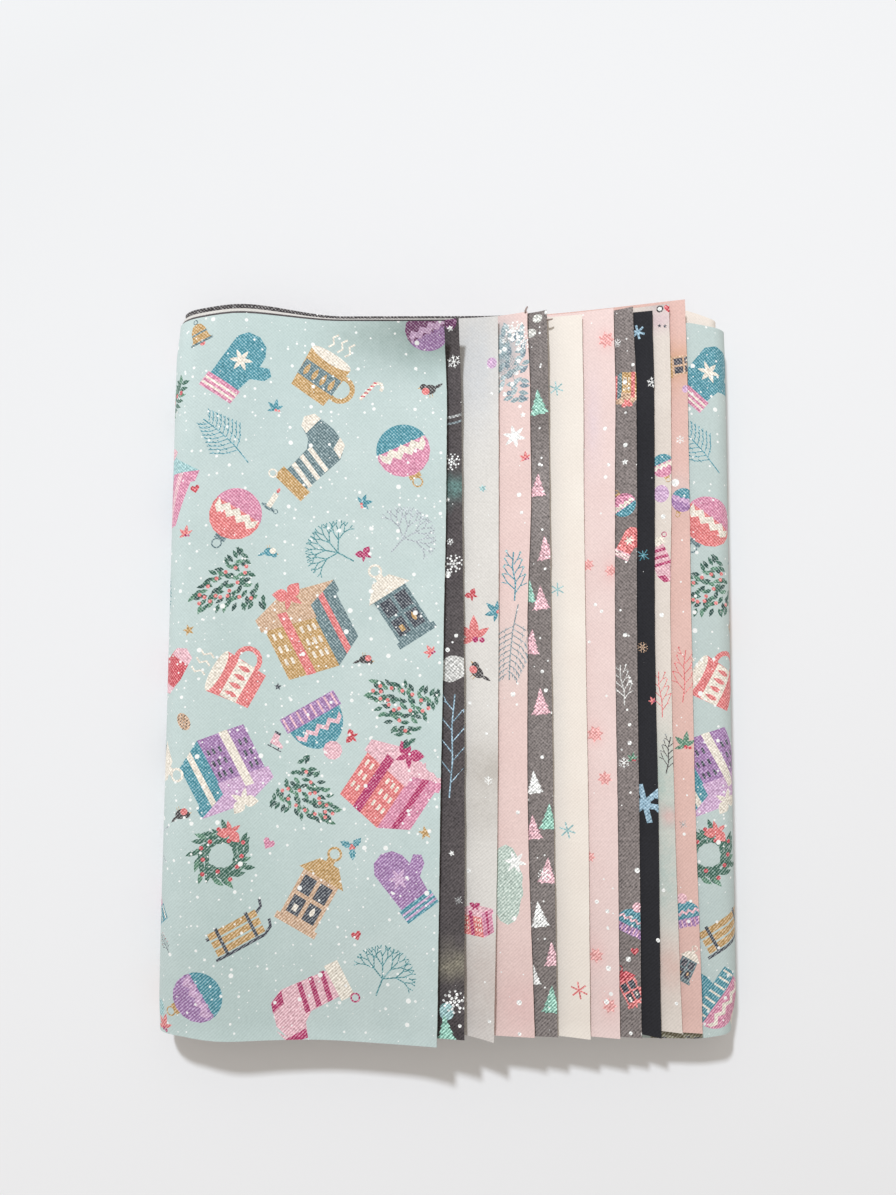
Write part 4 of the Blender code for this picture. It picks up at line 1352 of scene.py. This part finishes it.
def cotton(name, ground, deep_ground, fine_share, coarse_share, largest, contrast, offset):
    """Printed cotton: ground dye, soft patches of dye and of painted shade, printed inks and snow specks on
    a fine twill, darkened by painted shade towards the foot edge.
    """
    material, tree, shader = new_material(name, CLOTH_FINISH)
    flat = add(tree, "ShaderNodeUVMap", {"uv_map": "cloth"}).outputs[0]
    vector = add(tree, "ShaderNodeVectorMath", {"operation": "SCALE"}, Vector=flat,
                 Scale=MILLIMETRES).outputs[0]
    shifted = add(tree, "ShaderNodeVectorMath", {"operation": "ADD"}, s0=vector,
                  s1=(offset, 2.3 * offset, 0.0)).outputs[0]
    weave = add(tree, "ShaderNodeGroup", {"node_tree": twill}, Vector=vector).outputs

    mottle = noise(tree, shifted, MOTTLE_SCALE, 4.0, 0.55)
    even = compute(tree, "MULTIPLY_ADD", mottle, 2.4, -0.7, clamp=True)
    dyed = mix_colour(tree, even, opaque(deep_ground), opaque(ground))

    # Soft patches of dye and of painted shade, bleeding unevenly into the ground.
    wash_and_shade = add(tree, "ShaderNodeAttribute", {"attribute_name": "wash_and_shade"}).outputs
    bloom = noise(tree, vector, BLOOM_SCALE, 5.0, 0.7)
    uneven_bloom = compute(tree, "MULTIPLY_ADD", bloom, 1.4, 0.3)
    bleed = compute(tree, "MULTIPLY", wash_and_shade["Alpha"], uneven_bloom, clamp=True)
    washed_and_shaded = mix_colour(tree, bleed, dyed, wash_and_shade["Color"])

    printed = add(tree, "ShaderNodeAttribute", {"attribute_name": "print"}).outputs
    bare = compute(tree, "MULTIPLY", weave["Bare"], INK_BARE)
    thread = opaque(mix(np.array(ground), np.array(WHITE), THREAD_WHITENESS).tolist())
    gaps = compute(tree, "MULTIPLY_ADD", weave["Swing"], INK_CONTRAST, 1.0)
    inks = mix_colour(tree, 1.0, mix_colour(tree, bare, printed["Color"], thread), gaps, "MULTIPLY")
    coloured = mix_colour(tree, printed["Alpha"], washed_and_shaded, inks)

    specks = [add(tree, "ShaderNodeGroup", {"node_tree": snow}, Vector=shifted, Spacing=spacing,
                  Largest=size, Share=share).outputs[0]
              for spacing, size, share in ((FINE_SPACING, FINE_SIZE * largest, fine_share),
                                           (COARSE_SPACING, largest, coarse_share))]
    snowy = mix_colour(tree, compute(tree, "MAXIMUM", *specks), coloured, opaque(WHITE))
    # The weave's light and dark yarns, times the painted shade towards the foot.
    shade = compute(tree, "MULTIPLY", compute(tree, "MULTIPLY_ADD", weave["Swing"], contrast, 1.0),
                    weave["Painted Foot Shade"])
    shaded = mix_colour(tree, 1.0, snowy, shade, "MULTIPLY")
    bump = add(tree, "ShaderNodeBump", None, Strength=BUMP_STRENGTH, Distance=BUMP_DEPTH * MM,
               Height=weave["Height"])
    tree.links.new(shaded, shader.inputs["Base Color"])
    tree.links.new(bump.outputs[0], shader.inputs["Normal"])
    return material


# Each strip's ground colour, its deeper shade, its share of fine and coarse snow specks, the
# radius of the largest, and how strongly its dark and light yarns differ.
DYE_ROWS = (
    (ink(201, 215, 213), ink(192, 208, 206), 0.3, 0.42, 0.95, 0.1),
    (ink(92, 86, 87), ink(80, 74, 76), 0.03, 0.1, 0.5, 0.8),
    (ink(226, 222, 217), ink(219, 215, 210), 0.02, 0.1, 0.6, 0.13),
    (ink(235, 209, 204), ink(230, 202, 197), 0.02, 0.12, 0.7, 0.13),
    (ink(136, 128, 126), ink(124, 116, 114), 0.1, 0.4, 0.95, 0.85),
    (ink(242, 233, 223), ink(238, 227, 217), 0.0, 0.03, 0.5, 0.06),
    (ink(237, 214, 210), ink(232, 206, 202), 0.03, 0.16, 0.8, 0.11),
    (ink(138, 129, 127), ink(128, 119, 117), 0.1, 0.44, 0.95, 0.85),
    (ink(40, 40, 45), ink(35, 35, 40), 0.01, 0.02, 0.4, 0.4),
    (ink(228, 218, 209), ink(221, 210, 201), 0.02, 0.12, 0.7, 0.12),
    (ink(227, 190, 181), ink(221, 183, 173), 0.06, 0.24, 0.7, 0.13),
)
for number, (ground, deep, fine_share, coarse_share, largest, contrast) in enumerate(DYE_ROWS):
    dress = cotton(STRIPS[number]["node"] + "_cotton", ground, deep, fine_share, coarse_share, largest,
                   contrast, 37.0 * number)
    motifs = printed(BAND_ROWS[number])
    if number == 0:
        motifs = [shape for start in WRAP_STARTS for shape in printed(WRAP_ROWS, start)] + motifs
    make_strip(number, motifs, WASH_AND_SHADE_ROWS[number], dress)


# Two frayed threads stand out at the head corners of the pink and the fir strips. Each row gives the
# strip, the thread's distance from its cut edge and its foot edge, and its further points from there.
THREAD_ROWS = (
    (3, 0.6, 251.6, ((-0.1, 0.7, 0.2), (0.2, 1.5, 0.3), (0.6, 2.2, 0.2))),
    (4, 0.3, 248.6, ((0.7, -0.1, 0.0), (1.5, 0.0, -0.1), (2.3, 0.3, -0.3))),
)
THREAD_RADIUS = 0.42
THREAD_TAPER = 0.12
THREAD_SIDES = 6


def thread_mesh(rows):
    """Round threads of even width, each from the cloth's rim through its points."""
    vertices = []
    faces = []
    for index, from_cut, across, steps in rows:
        along = np.array([STRIP_LENGTH - from_cut])
        root = fold_point(index, along, np.array([across]))[0]
        knots = [root] + [root + np.array(step) * MM for step in steps]
        for number, knot in enumerate(knots):
            ahead = knots[min(number + 1, len(knots) - 1)] - knots[max(number - 1, 0)]
            side = np.cross(ahead, (0.0, 0.0, 1.0))
            side = side / np.linalg.norm(side)
            upward = np.cross(side, ahead / np.linalg.norm(ahead))
            radius = THREAD_RADIUS * MM * (1.0 - THREAD_TAPER * number)
            for turn in np.arange(THREAD_SIDES) * math.tau / THREAD_SIDES:
                spoke = side * math.cos(turn) + upward * math.sin(turn)
                vertices.append((knot + radius * spoke).tolist())
        first = len(vertices) - THREAD_SIDES * len(knots)
        for band in range(len(knots) - 1):
            start = first + band * THREAD_SIDES
            for side_number in range(THREAD_SIDES):
                following = (side_number + 1) % THREAD_SIDES
                faces.append((start + side_number, start + following, start + THREAD_SIDES + following,
                              start + THREAD_SIDES + side_number))
        faces.append(tuple(range(first, first + THREAD_SIDES))[::-1])
        faces.append(tuple(range(len(vertices) - THREAD_SIDES, len(vertices))))
    mesh = bpy.data.meshes.new("loose_threads")
    mesh.from_pydata(vertices, [], faces)
    mesh.shade_smooth()
    return mesh


loose_threads = show(bpy.data.objects.new("loose_threads", thread_mesh(THREAD_ROWS)))
yarn_material, yarn_tree, yarn_shader = new_material("frayed_yarn", {"Roughness": 0.9})
yarn_place = add(yarn_tree, "ShaderNodeTexCoord").outputs["Object"]
yarn_fleck = noise(yarn_tree, yarn_place, 900.0, 2.0)
yarn_colour = mix_colour(yarn_tree, yarn_fleck, opaque(ink(132, 116, 112)), opaque(ink(186, 164, 158)))
yarn_tree.links.new(yarn_colour, yarn_shader.inputs["Base Color"])
loose_threads.data.materials.append(yarn_material)
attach(loose_threads, "root")


# The floor is a pale smooth table top with painted shade: darker on the side towards the lamp, to even out
# its light.

FLOOR_SIZE = 3.0
FLOOR_FADE = 2.0
FLOOR_OFFSET = 0.4
FLOOR_LAMP_SIDE = (-0.5, 1.0, 0.0)
FLOOR_FINISH = {"Roughness": 0.8, "Specular IOR Level": 0.1}
bpy.ops.mesh.primitive_plane_add(size=FLOOR_SIZE, location=(0.0, 0.0, 0.0))
floor = bpy.context.active_object
floor.name = "floor"
floor_material, floor_tree, floor_shader = new_material("pale_table_painted_shade", FLOOR_FINISH)
floor_place = add(floor_tree, "ShaderNodeTexCoord").outputs["Object"]
floor_towards = add(floor_tree, "ShaderNodeVectorMath", {"operation": "DOT_PRODUCT"}, s0=floor_place,
                    s1=FLOOR_LAMP_SIDE).outputs["Value"]
# Painted shade: the table darkens towards the lamp's side.
floor_ramp = compute(floor_tree, "MULTIPLY_ADD", floor_towards, FLOOR_FADE, FLOOR_OFFSET, clamp=True)
floor_painted_shade = compute(floor_tree, "POWER", floor_ramp, 2.0)
floor_colour = mix_colour(floor_tree, floor_painted_shade, opaque(ink(239, 239, 241)), opaque(ink(221, 221, 222)))
floor_tree.links.new(floor_colour, floor_shader.inputs["Base Color"])
floor.data.materials.append(floor_material)


# Light: a soft lamp from the head of the pile and a little from the left, and an even warm room.

LAMP_DISTANCE = 1.85
LAMP_DIRECTION = Vector((-0.31, 0.96, 1.0)).normalized()
LAMP_SIZE = 0.14
LAMP_POWER = 27.2
LAMP_COLOUR = (0.885, 0.94, 1.0)
ROOM_COLOUR = (1.0, 0.945, 0.87)
ROOM_STRENGTH = 0.545

lamp_data = bpy.data.lights.new("lamp", "AREA")
lamp_data.size = LAMP_SIZE
lamp_data.energy = LAMP_POWER
lamp_data.color = LAMP_COLOUR
lamp = show(bpy.data.objects.new("lamp", lamp_data))
lamp.location = LAMP_DIRECTION * LAMP_DISTANCE
lamp.rotation_euler = LAMP_DIRECTION.to_track_quat("Z", "Y").to_euler()

room = bpy.data.worlds.new("room")
room.use_nodes = True
backdrop = room.node_tree.nodes["Background"]
backdrop.inputs["Color"].default_value = opaque(ROOM_COLOUR)
backdrop.inputs["Strength"].default_value = ROOM_STRENGTH
bpy.context.scene.world = room
bpy.context.scene.view_settings.view_transform = "Standard"
